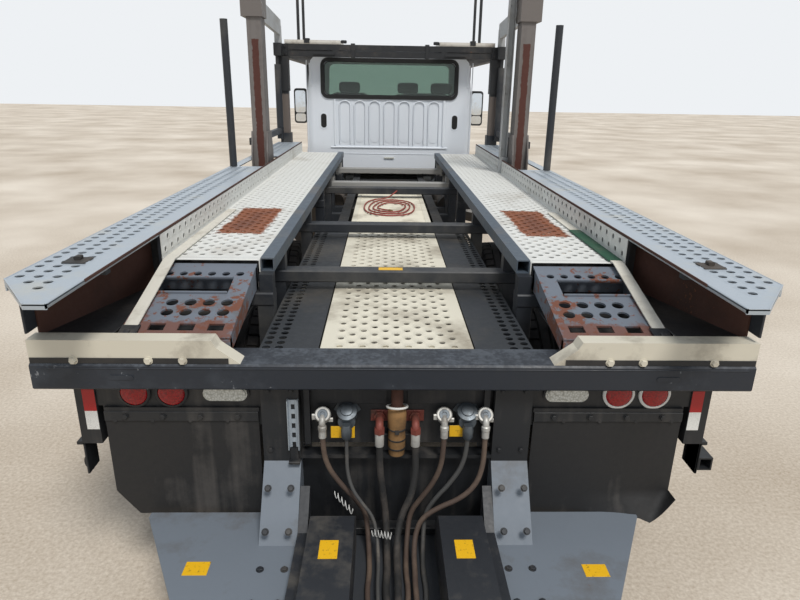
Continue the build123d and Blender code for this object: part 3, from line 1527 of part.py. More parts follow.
pieces = {
    "frame": frame,
    "front_bumper": front_bumper,
    "front_posts": front_posts,
    "front_axle": front_axle,
    "drive_line": drive_line,
    "suspension": suspension,
    "engine": engine,
    "cab": cab,
    "cab_glass": cab_glass,
    "seats": seats,
    "controls": controls,
    "fuel_tanks": fuel_tanks,
    "side_tanks": side_tanks,
    "deck_frame": deck_frame,
    "walkways": walkways,
    "runways": runways,
    "rear_ramps": rear_ramps,
    "centre_deck": centre_deck,
    "rear_beam": rear_beam,
    "load_plates": load_plates,
    "rear_wall": rear_wall,
    "tail_lamps": tail_lamps,
    "mud_flaps": mud_flaps,
    "hitch_frame": hitch_frame,
    "hitch_covers": hitch_covers,
    "couplings": couplings,
    "side_poles": side_poles,
    "tall_posts": tall_posts,
    "rack_guides": rack_guides,
    "tie_straps": tie_straps,
    "hood": hood,
    "grille": grille,
    "head_lamps": head_lamps,
    "rack_frame": rack_frame,
    "rack_runways": rack_runways,
    "rack_beams": rack_beams,
}
pieces.update(hoses)
for side_name in ("left", "right"):
    pieces["door_" + side_name] = doors[side_name]
    pieces["door_glass_" + side_name] = door_glass[side_name]
    pieces["mirror_" + side_name] = mirrors[side_name]
    pieces["knuckle_" + side_name] = knuckles[side_name]
    pieces["front_tyre_" + side_name], pieces["front_rim_" + side_name] = front_wheels[side_name]
    for axle_name in ("front", "rear"):
        tyres, rims = rear_wheels[axle_name, side_name]
        pieces["drive_tyres_" + axle_name + "_" + side_name] = tyres
        pieces["drive_rims_" + axle_name + "_" + side_name] = rims

for node, piece in pieces.items():
    piece.part.label = node
    export_step(piece.part, "parts/" + node + ".step")
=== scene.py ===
import math

import bpy
import numpy as np
from mathutils import Matrix


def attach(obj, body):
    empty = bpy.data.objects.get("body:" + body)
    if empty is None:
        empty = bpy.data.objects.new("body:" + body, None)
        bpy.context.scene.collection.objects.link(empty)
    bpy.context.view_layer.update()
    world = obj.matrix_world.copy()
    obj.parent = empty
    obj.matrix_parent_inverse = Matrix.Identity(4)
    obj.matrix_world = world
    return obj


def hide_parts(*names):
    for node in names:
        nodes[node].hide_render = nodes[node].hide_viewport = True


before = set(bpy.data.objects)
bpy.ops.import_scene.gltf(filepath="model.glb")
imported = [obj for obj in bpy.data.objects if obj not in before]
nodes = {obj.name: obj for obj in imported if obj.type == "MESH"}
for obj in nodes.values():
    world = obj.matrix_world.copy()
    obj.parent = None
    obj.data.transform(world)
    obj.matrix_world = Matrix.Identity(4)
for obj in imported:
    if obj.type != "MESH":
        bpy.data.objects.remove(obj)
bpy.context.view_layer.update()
scene = bpy.context.scene
scene.view_settings.view_transform = "Standard"

# The camera stands two metres up, two metres behind the rear beam, and looks forward and down
# over the deck, as the photograph does. Its three directions are given straight in its matrix.
camera = bpy.data.objects.new("camera", bpy.data.cameras.new("camera"))
scene.collection.objects.link(camera)
focal_px, sensor_mm, photo_px = 615, 36, 800
camera.data.lens = sensor_mm * focal_px / photo_px
camera.data.clip_end = 200
camera.matrix_world = Matrix(
    (
        (-0.99961, 0.00741, 0.02694, 0.055),
        (0.0231, -0.3258, 0.9451, 5.64),
        (0.01578, 0.94617, 0.32328, 2.0),
        (0, 0, 0, 1),
    )
)
scene.camera = camera


# The ground is one pale plane of packed sandy gravel, and the sky is a plain bright cloud cover.
# A large soft lamp stands for the sun behind thin cloud. Only the camera, mirrors and glass see
# the bright sky.
def linear(code):
    """An sRGB hex colour as the linear values that a shader takes."""
    parts = [int(code[place : place + 2], 16) / 255 for place in (0, 2, 4)]
    return tuple(part / 12.92 if part <= 0.04045 else ((part + 0.055) / 1.055) ** 2.4 for part in parts) + (1.0,)


def fill(node, inputs):
    """Fills a node's inputs with values, with sockets, or with another node's first output."""
    for name, value in inputs.items():
        if isinstance(value, bpy.types.Node):
            value = value.outputs[0]
        if isinstance(value, bpy.types.NodeSocket):
            node.id_data.links.new(value, node.inputs[name])
        else:
            node.inputs[name].default_value = value


def add(tree, kind, inputs, **options):
    """Adds one shader node, sets its options, and fills its inputs."""
    made = tree.nodes.new("ShaderNode" + kind)
    for name, value in options.items():
        setattr(made, name, value)
    fill(made, inputs)
    return made


def new_material(name):
    """A named material with its node tree, its shader and its Object coordinates."""
    made = bpy.data.materials.new(name)
    made.use_nodes = True
    tree = made.node_tree
    return made, tree, tree.nodes["Principled BSDF"], add(tree, "TexCoord", {}).outputs["Object"]


sky = bpy.data.worlds.new("cloud_cover")
scene.world = sky
sky.use_nodes = True
tree = sky.node_tree
tree.nodes.clear()
ray = add(tree, "LightPath", {})
seen = add(tree, "Math", {0: ray.outputs["Is Camera Ray"], 1: ray.outputs["Is Glossy Ray"]}, operation="MAXIMUM")
seen = add(tree, "Math", {0: seen, 1: ray.outputs["Is Transmission Ray"]}, operation="MAXIMUM")
dim = add(tree, "Background", {"Color": linear("E4ECF6"), "Strength": 0.62})
bright = add(tree, "Background", {"Color": linear("EEF1F4"), "Strength": 1.0})
pick = add(tree, "MixShader", {0: seen, 1: dim, 2: bright})
add(tree, "OutputWorld", {"Surface": pick})

sun = bpy.data.objects.new("soft_sun", bpy.data.lights.new("soft_sun", "SUN"))
scene.collection.objects.link(sun)
sun.data.energy = 2.3
sun.data.angle = 0.3
sun.data.color = (1.0, 0.97, 0.93)
sun.rotation_euler = (math.radians(-30), math.radians(-14), 0)


def joined(parts):
    """Several (points, faces) pairs as one, with points that meet within 0.02 mm made one."""
    points, faces, offset = [], [], 0
    for part_points, part_faces in parts:
        points.append(np.asarray(part_points, float))
        faces.extend(tuple(int(index) + offset for index in face) for face in part_faces)
        offset += len(part_points)
    points = np.concatenate(points)
    same_spot = 0.00002
    cells = np.round(points / same_spot).astype(np.int64)
    _, first, merged = np.unique(cells, axis=0, return_index=True, return_inverse=True)
    merged = merged.reshape(-1)
    clean = []
    for face in faces:
        ring = [int(merged[index]) for index in face]
        ring = [index for place, index in enumerate(ring) if index != ring[place - 1]]
        if len(ring) > 2:
            clean.append(ring)
    return points[first], clean


def make_piece(name, parts, material, slot=None, replaces=(), crease=32, body="chassis"):
    """Puts the joined parts into one mesh object, smooth but for edges sharper than the crease.
    A piece with a material slot rides on its body."""
    points, faces = joined(parts)
    mesh = bpy.data.meshes.new(name)
    mesh.from_pydata(points.tolist(), [], faces)
    mesh.polygons.foreach_set("use_smooth", np.ones(len(mesh.polygons), bool))
    mesh.set_sharp_from_angle(angle=math.radians(crease))
    mesh.materials.append(material)
    made = bpy.data.objects.new(name, mesh)
    scene.collection.objects.link(made)
    if slot:
        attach(made, body)
    if replaces:
        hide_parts(*replaces)
    return made


packed_gravel, tree, shader, place = new_material("packed_gravel")
pebbles = add(tree, "TexNoise", {"Vector": place, "Scale": 55.0, "Detail": 8.0, "Roughness": 0.75})
drift = add(tree, "TexNoise", {"Vector": place, "Scale": 0.5, "Detail": 4.0})
level = add(tree, "Math", {0: pebbles, 1: 0.55, 2: 0.0}, operation="MULTIPLY_ADD")
level = add(tree, "Math", {0: drift, 1: 0.45, 2: level}, operation="MULTIPLY_ADD")
spread = add(tree, "MapRange", {0: level, 1: 0.34, 2: 0.66})
tone = add(tree, "Mix", {0: spread, 6: linear("A99985"), 7: linear("E9DFD0")}, data_type="RGBA")
fill(shader, {"Base Color": tone.outputs[2], "Roughness": 0.95})
reach = 60
corners = [(-reach, -reach, 0), (reach, -reach, 0), (reach, reach, 0), (-reach, reach, 0)]
make_piece("ground", [(corners, [(0, 1, 2, 3)])], packed_gravel)


# Chassis: two pressed channel rails with cross members, the axles and the springs. They are welded
# and bolted steel under black chassis paint, dulled by road dust and chipped to rust.
def weathered(
    name, paint, grime, bare, cover=0.5, chips=0.64, rough=0.5, metallic=0.0, patch_mm=450, chip_mm=30,
    relief_mm=0.5, streaks=0.0
):
    """Paint under grime that follows a broad noise, broken through to the bare colour where a
    broad and a fine noise are both high. Streaks stretch the grime down the walls."""
    made, tree, shader, place = new_material(name)
    broad = add(tree, "TexNoise", {"Vector": place, "Scale": 1000 / patch_mm, "Detail": 7.0, "Roughness": 0.65})
    fine = add(tree, "TexNoise", {"Vector": place, "Scale": 1000 / chip_mm, "Detail": 4.0, "Roughness": 0.7})
    if streaks:
        tall = add(tree, "Mapping", {"Vector": place, "Scale": (22.0, 22.0, 0.9)})
        runs = add(tree, "TexNoise", {"Vector": tall, "Scale": 1.0, "Detail": 5.0})
        broad = add(tree, "Mix", {0: streaks, 2: broad, 3: runs}, data_type="FLOAT")
    lay = add(tree, "MapRange", {0: broad, 1: 0.78 - cover * 0.6, 2: 0.98 - cover * 0.5})
    coat = add(tree, "Mix", {0: lay, 6: linear(paint), 7: linear(grime)}, data_type="RGBA")
    both = add(tree, "Math", {0: fine, 1: 0.5, 2: 0.0}, operation="MULTIPLY_ADD")
    both = add(tree, "Math", {0: broad, 1: 0.5, 2: both}, operation="MULTIPLY_ADD")
    chip = add(tree, "MapRange", {0: both, 1: chips, 2: chips + 0.03})
    colour = add(tree, "Mix", {0: chip, 6: coat.outputs[2], 7: linear(bare)}, data_type="RGBA")
    fill(shader, {"Base Color": colour.outputs[2]})
    dull = add(tree, "MapRange", {0: both, 1: 0.3, 2: 0.7, 3: rough - 0.1, 4: min(rough + 0.2, 1.0)})
    fill(shader, {"Roughness": dull, "Metallic": metallic})
    bump = add(tree, "Bump", {"Height": fine, "Strength": 0.35, "Distance": relief_mm / 1000})
    fill(shader, {"Normal": bump})
    return made


def dress(material, *names):
    """Gives CAD nodes a material."""
    for name in names:
        nodes[name].data.materials.clear()
        nodes[name].data.materials.append(material)


rearward, upward = (0, 1, 0), (0, 0, 1)


def turned(profile, centre, axis, segments=20):
    """A (radius, height) outline in millimetres, turned about an axis through the centre, its ends
    closed flat."""
    axis = np.asarray(axis, float) / np.linalg.norm(axis)
    across = np.cross(axis, (0, 0, 1) if abs(axis[2]) < 0.9 else (1, 0, 0))
    across /= np.linalg.norm(across)
    up = np.cross(axis, across)
    angle = np.arange(segments) * 2 * math.pi / segments
    ring = np.cos(angle)[:, None] * across + np.sin(angle)[:, None] * up
    radii, heights = np.asarray(profile, float).T / 1000
    points = centre + radii[:, None, None] * ring + heights[:, None, None] * axis
    faces = grid_faces(len(profile), segments, wrap=True)
    faces.append(tuple(range(segments))[::-1])
    faces.append(tuple(range((len(profile) - 1) * segments, len(profile) * segments)))
    return points.reshape(-1, 3), faces


def grid_faces(rows, columns, wrap=False, close=False):
    """The quads of a grid of points, wrapped round its columns, and closed round its rows."""
    row = np.arange(rows if close else rows - 1)[:, None]
    column = np.arange(columns if wrap else columns - 1)[None, :]
    beside, above = (column + 1) % columns, ((row + 1) % rows) * columns
    quads = np.stack([row * columns + column, row * columns + beside, above + beside, above + column + 0 * row], -1)
    return [tuple(quad) for quad in quads.reshape(-1, 4).tolist()]


def bolts(places, axis, size=12, height=11):
    """Six-sided bolt heads on thin washers at each place, their size in millimetres."""
    heads = []
    for place in places:
        heads.append(turned([(size * 1.25, 0), (size * 1.25, 3)], place, axis, 16))
        heads.append(turned([(size, 3), (size, height * 0.8), (size * 0.85, height)], place, axis, 6))
    return heads


def run(outline, start, end, axis="y"):
    """A closed outline carried straight along y (outline in x, z), x (in y, z) or z (in x, y)."""
    outline = np.asarray(outline, float)
    order = {"x": (2, 0, 1), "y": (0, 2, 1), "z": (0, 1, 2)}[axis]
    ends = [np.column_stack([outline, np.full(len(outline), depth)])[:, order] for depth in (start, end)]
    points = np.concatenate(ends)
    count = len(outline)
    faces = [(index, (index + 1) % count, count + (index + 1) % count, count + index) for index in range(count)]
    faces += [tuple(range(count))[::-1], tuple(range(count, 2 * count))]
    area = np.sum(outline[:, 0] * np.roll(outline[:, 1], -1) - outline[:, 1] * np.roll(outline[:, 0], -1))
    if ((area > 0) == (axis == "y")) != (end < start):
        faces = [face[::-1] for face in faces]
    return points, faces


def bar(x, y, z, edge=0.002):
    """A straight bar between two x, two y and two z limits, its long edges eased."""
    spans = {"x": (y, z, x), "y": (x, z, y), "z": (x, y, z)}
    longest = max("xyz", key=lambda name: abs(spans[name][2][1] - spans[name][2][0]))
    first, second, length = spans[longest]
    low, high = (min(first), min(second)), (max(first), max(second))
    edge = min(edge, (high[0] - low[0]) * 0.4, (high[1] - low[1]) * 0.4)
    outline = [
        (low[0] + edge, low[1]), (high[0] - edge, low[1]), (high[0], low[1] + edge), (high[0], high[1] - edge),
        (high[0] - edge, high[1]), (low[0] + edge, high[1]), (low[0], high[1] - edge), (low[0], low[1] + edge),
    ]
    return run(outline, min(length), max(length), longest)


def box(x_low, x_high, y_low, y_high, z_low, z_high, edge=2):
    """A bar from its limits in millimetres."""
    x, y, z = np.array([(x_low, x_high), (y_low, y_high), (z_low, z_high)]) / 1000
    return bar(x, y, z, edge / 1000)


def fold(outline, start, end, axis="y"):
    """A run whose outline and ends are given in millimetres."""
    return run(np.array(outline) / 1000, start / 1000, end / 1000, axis)


def slab(left, right, low, high, start, end, axis="y"):
    """A fold with a plain rectangle for its outline."""
    return fold([(left, low), (right, low), (right, high), (left, high)], start, end, axis)


def swept(path, radius, sides=10):
    """A round bar along a path. Each ring stands square to the path, and the direction that it
    starts from is carried on from ring to ring without twist."""
    path = np.asarray(path, float)
    along = np.gradient(path, axis=0)
    along /= np.linalg.norm(along, axis=1)[:, None]
    across, rings = np.cross(along[0], (0.31, 0.52, 0.79)), []
    turn = np.arange(sides) * 2 * math.pi / sides
    for spot, ahead in zip(path, along):
        across = across - ahead * np.dot(across, ahead)
        across /= np.linalg.norm(across)
        rings.append(
            spot + radius * (np.cos(turn)[:, None] * across + np.sin(turn)[:, None] * np.cross(ahead, across))
        )
    faces = grid_faces(len(path), sides, wrap=True)
    faces += [tuple(range(sides))[::-1], tuple(range((len(path) - 1) * sides, len(path) * sides))]
    return np.concatenate(rings), faces


def both(parts):
    """The parts, and their mirror images across the truck with the faces turned the right way."""
    return list(parts) + [
        (np.asarray(points, float) * (-1, 1, 1), [tuple(face)[::-1] for face in faces])
        for points, faces in parts
    ]


chassis_paint = weathered("chassis_paint_black", "17191C", "3B3733", "4A2C1E", cover=0.55, chips=0.66, rough=0.55)
dusty_paint = weathered("chassis_paint_dusty", "1C1D1F", "5A5046", "5B3420", cover=0.75, chips=0.63, rough=0.7)
dress(chassis_paint, "frame", "front_posts")
dress(dusty_paint, "suspension", "front_axle", "drive_line", "knuckle_left", "knuckle_right")
rail_bolts = both(bolts([(0.43, y, z) for y in np.arange(-1.3, 3.3, 0.31) for z in (0.76, 0.92)], (1, 0, 0)))
make_piece("rail_bolts", rail_bolts, chassis_paint, "chassis_paint")

# Engine, gearbox and radiator: cast and painted lumps between the rails, shown as plain blocks,
# with a film of oil and dust.
cast_iron = weathered(
    "cast_iron_oily", "2E2C2A", "4C443B", "5A4332", cover=0.6, chips=0.68, rough=0.6, metallic=0.3,
)
dress(cast_iron, "engine")

# Tyres: moulded rubber with ribs, and lugs on the drive axles. Dust greys the sidewalls, and the
# tread is worn darker.
tyre_rubber = weathered("tyre_rubber_dusty", "17171A", "4A443D", "232224", chips=0.62, rough=0.85, relief_mm=0.3)


def tyre(centre_x, axle_y, axle_z, side, grooves, lug_count, lug_inner):
    """A tyre: a section of (across, radius) turned about the axle. The radius drops by the groove
    depth inside a groove, and in the gaps between lugs outside the lug line."""
    bend = np.linspace(0, 1, 13)[:, None]
    rim, bulge, shoulder = np.array([(0.098, 0.2865), (0.149, 0.37), (0.119, 0.454)])
    wall = (1 - bend) ** 2 * rim + 2 * bend * (1 - bend) * bulge + bend**2 * shoulder
    wall[3, 0] += 0.0015
    wall[9, 0] += 0.002
    crown = [0.113, 0.104]
    for groove in sorted(grooves, reverse=True):
        crown += [groove + 0.0062, groove + 0.0045, groove - 0.0045, groove - 0.0062]
    crown = np.array(crown)
    half = np.concatenate(
        [wall, np.stack([crown, 0.48 - 0.004 * (crown / 0.097) ** 2 - 0.004 * (crown > 0.11)], -1)]
    )
    section = np.concatenate([half, half[::-1] * (-1, 1)])
    across, radius = section.T
    depth = np.zeros(len(across))
    for groove in grooves:
        depth[np.abs(np.abs(across) - groove) < 0.005] = 0.013
    gap = (np.abs(across) > lug_inner) & (radius > 0.445)
    phase = (np.arange(lug_count)[:, None] + np.array((0.0, 0.03, 0.22, 0.25))).reshape(-1)
    cut = np.tile(np.array((0, 1, 1, 0)), lug_count)
    lean = np.where(across > 0, 0.0, 0.5)
    turn = 2 * math.pi * (phase[:, None] + lean[None, :]) / lug_count
    depth = np.maximum(depth[None, :], cut[:, None] * gap[None, :] * 0.011)
    reach = radius[None, :] - depth
    x = side * centre_x + side * across[None, :] + 0 * turn
    points = np.stack([x, axle_y + reach * np.cos(side * turn), axle_z + reach * np.sin(side * turn)], -1)
    rows, columns = turn.shape
    return points.reshape(-1, 3), grid_faces(rows, columns, wrap=True, close=True)


axle_height = 0.48
for side, side_name in ((1, "left"), (-1, "right")):
    make_piece(
        "front_tyre_tread_" + side_name,
        [tyre(1.03, -3.85, axle_height, side, (0.028, 0.07), 60, 0.101)],
        tyre_rubber, "tyre", ["front_tyre_" + side_name], body="front_wheel_" + side_name,
    )
    for axle_name, axle_y in (("front", 1.35), ("rear", 2.65)):
        make_piece(
            "drive_tyre_tread_%s_%s" % (axle_name, side_name),
            [tyre(centre, axle_y, axle_height, side, (0.01, 0.06), 48, 0.055) for centre in (0.762, 1.08)],
            tyre_rubber, "tyre", ["drive_tyres_%s_%s" % (axle_name, side_name)],
            body="drive_wheel_%s_%s" % (axle_name, side_name),
        )

# Wheels: pressed steel discs painted white, held by ten nuts, with an oily hub cap. Brake dust
# and road film darken them.
wheel_white = weathered("wheel_paint_white", "C9C8C2", "7C746A", "6B4630", chips=0.69)
nut_steel = weathered(
    "wheel_nut_steel", "6E6C68", "3E3934", "70452C", cover=0.4, chips=0.6, rough=0.45, metallic=0.8,
)
for side, side_name in ((1, "left"), (-1, "right")):
    wheels = [("front_wheel_" + side_name, "front_rim_" + side_name, -3.85, 1.1, 0.118)]
    for axle_name, axle_y in (("front", 1.35), ("rear", 2.65)):
        wheels.append(
            (
                "drive_wheel_%s_%s" % (axle_name, side_name), "drive_rims_%s_%s" % (axle_name, side_name), axle_y,
                0.935, 0.15,
            )
        )
    for body, node, axle_y, face_x, circle in wheels:
        dress(wheel_white, node)
        angles = np.arange(10) * math.pi / 5 + 0.15
        spots = [
            (side * face_x, axle_y + circle * math.cos(turn), axle_height + circle * math.sin(turn))
            for turn in angles
        ]
        make_piece(body + "_nuts", bolts(spots, (side, 0, 0), 17, 28), nut_steel, "cast_iron", body=body)


# Runways: cream-painted steel tread plate, pressed with rows of raised round holes for
# grip, folded down along both edges and welded to a square tube rail. Tyres have worn the paint
# off the lips, and rust stains one stretch on each side.
def perforated(x_edges, y_edges, radius, thick=0.004, rim=0.005, raised=0.0, sides=16):
    """A sheet with a round hole in each cell of a grid, its top at height zero. From each cell's
    square edge rows of points run to a ring, up to a lip, down the hole and back below."""
    x_edges, y_edges = np.asarray(x_edges, float), np.asarray(y_edges, float)
    middles = np.meshgrid((x_edges[1:] + x_edges[:-1]) / 2, (y_edges[1:] + y_edges[:-1]) / 2, indexing="ij")
    halves = np.meshgrid(np.diff(x_edges) / 2, np.diff(y_edges) / 2, indexing="ij")
    middle, half = [np.stack(pair, -1).reshape(-1, 1, 2) for pair in (middles, halves)]
    turn = np.arange(sides) * 2 * math.pi / sides
    ring = np.stack([np.cos(turn), np.sin(turn)], -1)
    square = ring / np.abs(ring).max(1, keepdims=True)
    steps = [
        (None, 0), (radius + rim, 0), (radius + 0.35 * rim, raised), (radius, raised), (radius, -thick),
        (None, -thick),
    ]
    levels = []
    for reach, height in steps:
        flat = middle + (half * square if reach is None else reach * ring)
        levels.append(np.concatenate([flat, np.full(flat.shape[:2] + (1,), float(height))], -1))
    points = np.stack(levels, 1)
    quads = np.array(grid_faces(len(steps), sides, wrap=True))
    faces = np.arange(len(points))[:, None, None] * len(steps) * sides + quads
    flat = points[:, 0]
    ahead = np.roll(flat, -1, 1)
    outer = np.zeros(flat.shape[:2], bool)
    for axis, edges in ((0, x_edges), (1, y_edges)):
        for limit in (edges[0], edges[-1]):
            outer |= (np.abs(flat[..., axis] - limit) < 1e-9) & (np.abs(ahead[..., axis] - limit) < 1e-9)
    cell, corner = np.nonzero(outer)
    first, drop = cell * len(steps) * sides, (len(steps) - 1) * sides
    here, beside = first + corner, first + (corner + 1) % sides
    walls = np.stack([beside, here, here + drop, beside + drop], -1)
    faces = np.concatenate([faces.reshape(-1, 4), walls])
    return points.reshape(-1, 3), [tuple(face) for face in faces.tolist()]


def at(part, height, slope=None):
    """A part lifted to a height, or laid on a slope that runs from one (y, z) to another."""
    points, faces = np.array(part[0], float), part[1]
    if slope:
        start, end = np.array(slope[0]), np.array(slope[1])
        along = (end - start) / np.linalg.norm(end - start)
        out = np.array((-along[1], along[0]))
        flat = start + points[:, 1:2] * along + points[:, 2:3] * out
        points[:, 1:3] = flat
    points[:, 2] += height
    return points, faces


def square_tube(x, z, wall, start, end):
    """A square tube along the truck: an outer and an inner outline, joined at both open ends."""
    rows = []
    for place, inset in ((start, 0), (end, 0), (end, wall), (start, wall)):
        low_x, high_x, low_z, high_z = x[0] + inset, x[1] - inset, z[0] + inset, z[1] - inset
        rows.append(
            [(low_x, place, low_z), (low_x, place, high_z), (high_x, place, high_z), (high_x, place, low_z)]
        )
    return np.array(rows).reshape(-1, 3), grid_faces(4, 4, wrap=True, close=True)


def steps_of(start, pitch, count):
    """Evenly spaced edges."""
    return start + pitch * np.arange(count + 1)


def stained(made, colour, low, high, ragged=0.1, grain=0.35, amount=1.0):
    """Lays a colour over a material inside a box, out to a ragged edge. The distance outside the
    box is the largest over the three axes, with x taken on both sides of the truck, less a noise."""
    tree, shader = made.node_tree, made.node_tree.nodes["Principled BSDF"]
    place = add(tree, "TexCoord", {}).outputs["Object"]
    axes = add(tree, "SeparateXYZ", {0: place})
    side = add(tree, "Math", {0: axes.outputs[0]}, operation="ABSOLUTE")
    level = None
    for value, bottom, top in zip((side.outputs[0], axes.outputs[1], axes.outputs[2]), low, high):
        off = add(tree, "Math", {0: value, 1: (bottom + top) / 2}, operation="SUBTRACT")
        off = add(tree, "Math", {0: off}, operation="ABSOLUTE")
        off = add(tree, "Math", {0: off, 1: (top - bottom) / 2}, operation="SUBTRACT")
        level = off if level is None else add(tree, "Math", {0: level, 1: off}, operation="MAXIMUM")
    broad = add(tree, "TexNoise", {"Vector": place, "Scale": 9.0, "Detail": 6.0, "Roughness": 0.7})
    fine = add(tree, "TexNoise", {"Vector": place, "Scale": 60.0, "Detail": 3.0})
    shift = add(tree, "Math", {0: broad, 1: 2 * ragged, 2: level}, operation="MULTIPLY_ADD")
    shift = add(tree, "Math", {0: fine, 1: grain * ragged, 2: shift}, operation="MULTIPLY_ADD")
    inside = add(tree, "MapRange", {0: shift, 1: ragged * 1.35, 2: ragged * 1.0, 3: 0.0, 4: amount})
    old = shader.inputs["Base Color"].links[0].from_socket
    mixed = add(tree, "Mix", {0: inside, 6: old, 7: linear(colour)}, data_type="RGBA")
    fill(shader, {"Base Color": mixed.outputs[2]})
    return made


def staggered(x_edges, start, pitch, count, thick, **form):
    """Columns of holes, every other one shifted by half a pitch, with plain strips at its ends."""
    parts = []
    for place, (near, far) in enumerate(zip(x_edges, x_edges[1:])):
        odd = place % 2
        parts.append(
            perforated((near, far), steps_of(start + odd * pitch / 2, pitch, count - odd), thick=thick, **form)
        )
        for low in (start, start + (count - 0.5) * pitch) if odd else ():
            parts.append(
                run([(near, low), (far, low), (far, low + pitch / 2), (near, low + pitch / 2)], -thick, 0, "z")
            )
    return parts


deck_cream = weathered(
    "runway_paint_cream", "D9D9D4", "AAA398", "8A6A50", cover=0.38, chips=0.655, rough=0.55, patch_mm=600,
    chip_mm=14,
)
stained(deck_cream, "814A2C", (0.68, 1.76, 1.0), (0.94, 2.5, 1.5), ragged=0.05, grain=0.8)
stained(deck_cream, "5E3422", (0.72, 1.86, 1.0), (0.9, 2.4, 1.5), ragged=0.14, grain=0.9, amount=0.7)
rail_paint = weathered("rail_paint_blue_grey", "4A5560", "6B6660", "7C5138", cover=0.45)
runway_end, runway_start = 3.0, -1.85
points, faces = joined(
    staggered((1.286, 1.336, 1.386), -1.84, 0.088, 55, 0.002, radius=0.0135, rim=0.006, raised=0.002, sides=8)
)
runway = [
    at(part, 1.2765)
    for part in staggered(
        steps_of(0.615, 0.04, 10), -1.84, 0.08, 60, 0.0015, radius=0.013, rim=0.006, raised=0.0025,
    )
]
runway += [
    (np.stack([1.0265 - points[:, 2], points[:, 1], points[:, 0]], -1), faces),
    box(615, 1015, 2960, 3000, 1273, 1276.5, 1), box(615, 1015, -1850, -1840, 1273, 1276.5, 1),
    run(
        [(1.015, 1.2725), (1.0295, 1.2725), (1.0295, 1.286), (1.0265, 1.286), (1.024, 1.2765), (1.015, 1.2765)],
        runway_start, runway_end,
    ),
    run(
        [
            (0.602, 1.22), (0.607, 1.22), (0.607, 1.2725), (0.615, 1.2725), (0.615, 1.2765), (0.6045, 1.2765),
            (0.602, 1.274),
        ],
        runway_start, runway_end,
    ),
]
for name, half, replaced in (("left", runway, ["runways"]), ("right", both(runway)[len(runway) :], [])):
    make_piece("runway_plates_" + name, half, deck_cream, "cream_paint", replaced, crease=50)
make_piece(
    "runway_rails", both([square_tube((0.54, 0.6), (1.225, 1.285), 0.005, runway_start, runway_end)]), rail_paint,
    "grey_paint",
)

# Walkways: galvanised tread plate outside the runways, with three rows of raised holes, a plain
# band inside them, a folded lip outside, and an end cut on the slant.
galvanised = weathered(
    "galvanised_plate", "AEB7BF", "BDBDB6", "77736E", cover=0.42, chips=0.68, rough=0.42, metallic=0.45,
    patch_mm=220, chip_mm=10,
)
cell = 0.062
lane_x = (1.1, 1.162, 1.224, 1.286)
walk = []
for lane, count in enumerate((51, 50, 49)):
    near, far = lane_x[lane], lane_x[lane + 1]
    end_y = 0.66 + cell * count
    walk.append(
        at(
            perforated((near, far), steps_of(0.66, cell, count), 0.0155, thick=0.002, rim=0.007, raised=0.0025),
            1.394,
        )
    )
    slant = [3.94 - 1.282 * (x - 1.1) for x in (far, near)]
    walk.append(run([(near, end_y), (far, end_y), (far, slant[0]), (near, slant[1])], 1.39, 1.394, "z"))
walk.append(
    at(perforated(lane_x, steps_of(-1.72, 0.0612, 24), 0.0155, thick=0.002, rim=0.007, raised=0.0025), 1.394)
)
flats = (
    (1030, 1100, 590, 3940), (1100, 1286, 590, 660), (1225, 1295, -251, 590), (1030, 1100, -1760, -210),
    (1100, 1225, -251, -210),
    (1286, 1295, -1760, -251), (1100, 1286, -1760, -1720), (1030, 1130, -1820, -1760), (1270, 1295, -1820, -1760),
)
walk += [slab(*limits, 1390, 1394, "z") for limits in flats]
walk.append(fold([(1286, 590), (1295, 590), (1295, 3690), (1286, 3701.5)], 1390, 1394, "z"))
walk.append(fold([(1290, 1352), (1295, 1352), (1295, 1390), (1293.5, 1395), (1290, 1395)], -1820, 3690))
walk.append(fold([(1100, 3940), (1295, 3690), (1291, 3687), (1098, 3934)], 1378, 1396, "z"))
walk.append(slab(1030, 1100, 3934, 3940, 1378, 1396, "z"))
walk.append(box(1030, 1035, -1820, -210, 1340, 1395))
walk.append(box(1030, 1035, 590, 3940, 1380, 1398))
make_piece("walkway_plates", both(walk), galvanised, "galvanised", ["walkways"], crease=50)
blocks = [box(1118, 1200, 3425, 3505, 1394.5, 1398.5, 1), box(1150, 1172, 3440, 3470, 1398.5, 1412, 3)]
make_piece("walkway_blocks", both(blocks), dusty_paint, "dark_paint")

# Sills: slanted webs under the walkways' tail ends, whose paint has gone to brown rust where straps
# and ramps rub it, the brown darkened further as painted shade under the walkways. Dark pans close
# the open plates from below as painted shade seen through their holes.
# The sills' rust brown is darkened to carry painted shade.
sill_rust_and_shade = weathered("sill_rust_and_shade", "4C3026", "33251F", "6E4630", chips=0.6, rough=0.85, chip_mm=18)
sills = [
    fold([(1278, 3571), (1286, 3571), (1094, 2960), (1086, 2960)], 1146, 1376, "z"),
    box(1025.5, 1029.5, -1820, 3700, 1388.5, 1399.5, 1),
]
make_piece("sill_faces", both(sills), sill_rust_and_shade, "dark_paint")
# Dark pans just under the open walkway plates are painted shade seen through their holes.
shade_pans = [
    fold([(1046, 600), (1286, 600), (1286, 3680), (1100, 3918), (1046, 3918)], 1374, 1378, "z"),
    box(1046, 1286, -1800, -260, 1374, 1378),
]
# More dark sheets under the ramps and the walkways' tail ends, also painted shade.
shade_pans += [
    box(630, 1018, 3060, 3515, 1080, 1086), box(1044, 1276, 2952, 2958, 1146, 1374),
    box(1030, 1284, 2958, 3568, 1143, 1149),
]
make_piece("walkway_shade_pans", both(shade_pans), chassis_paint, "dark_paint")

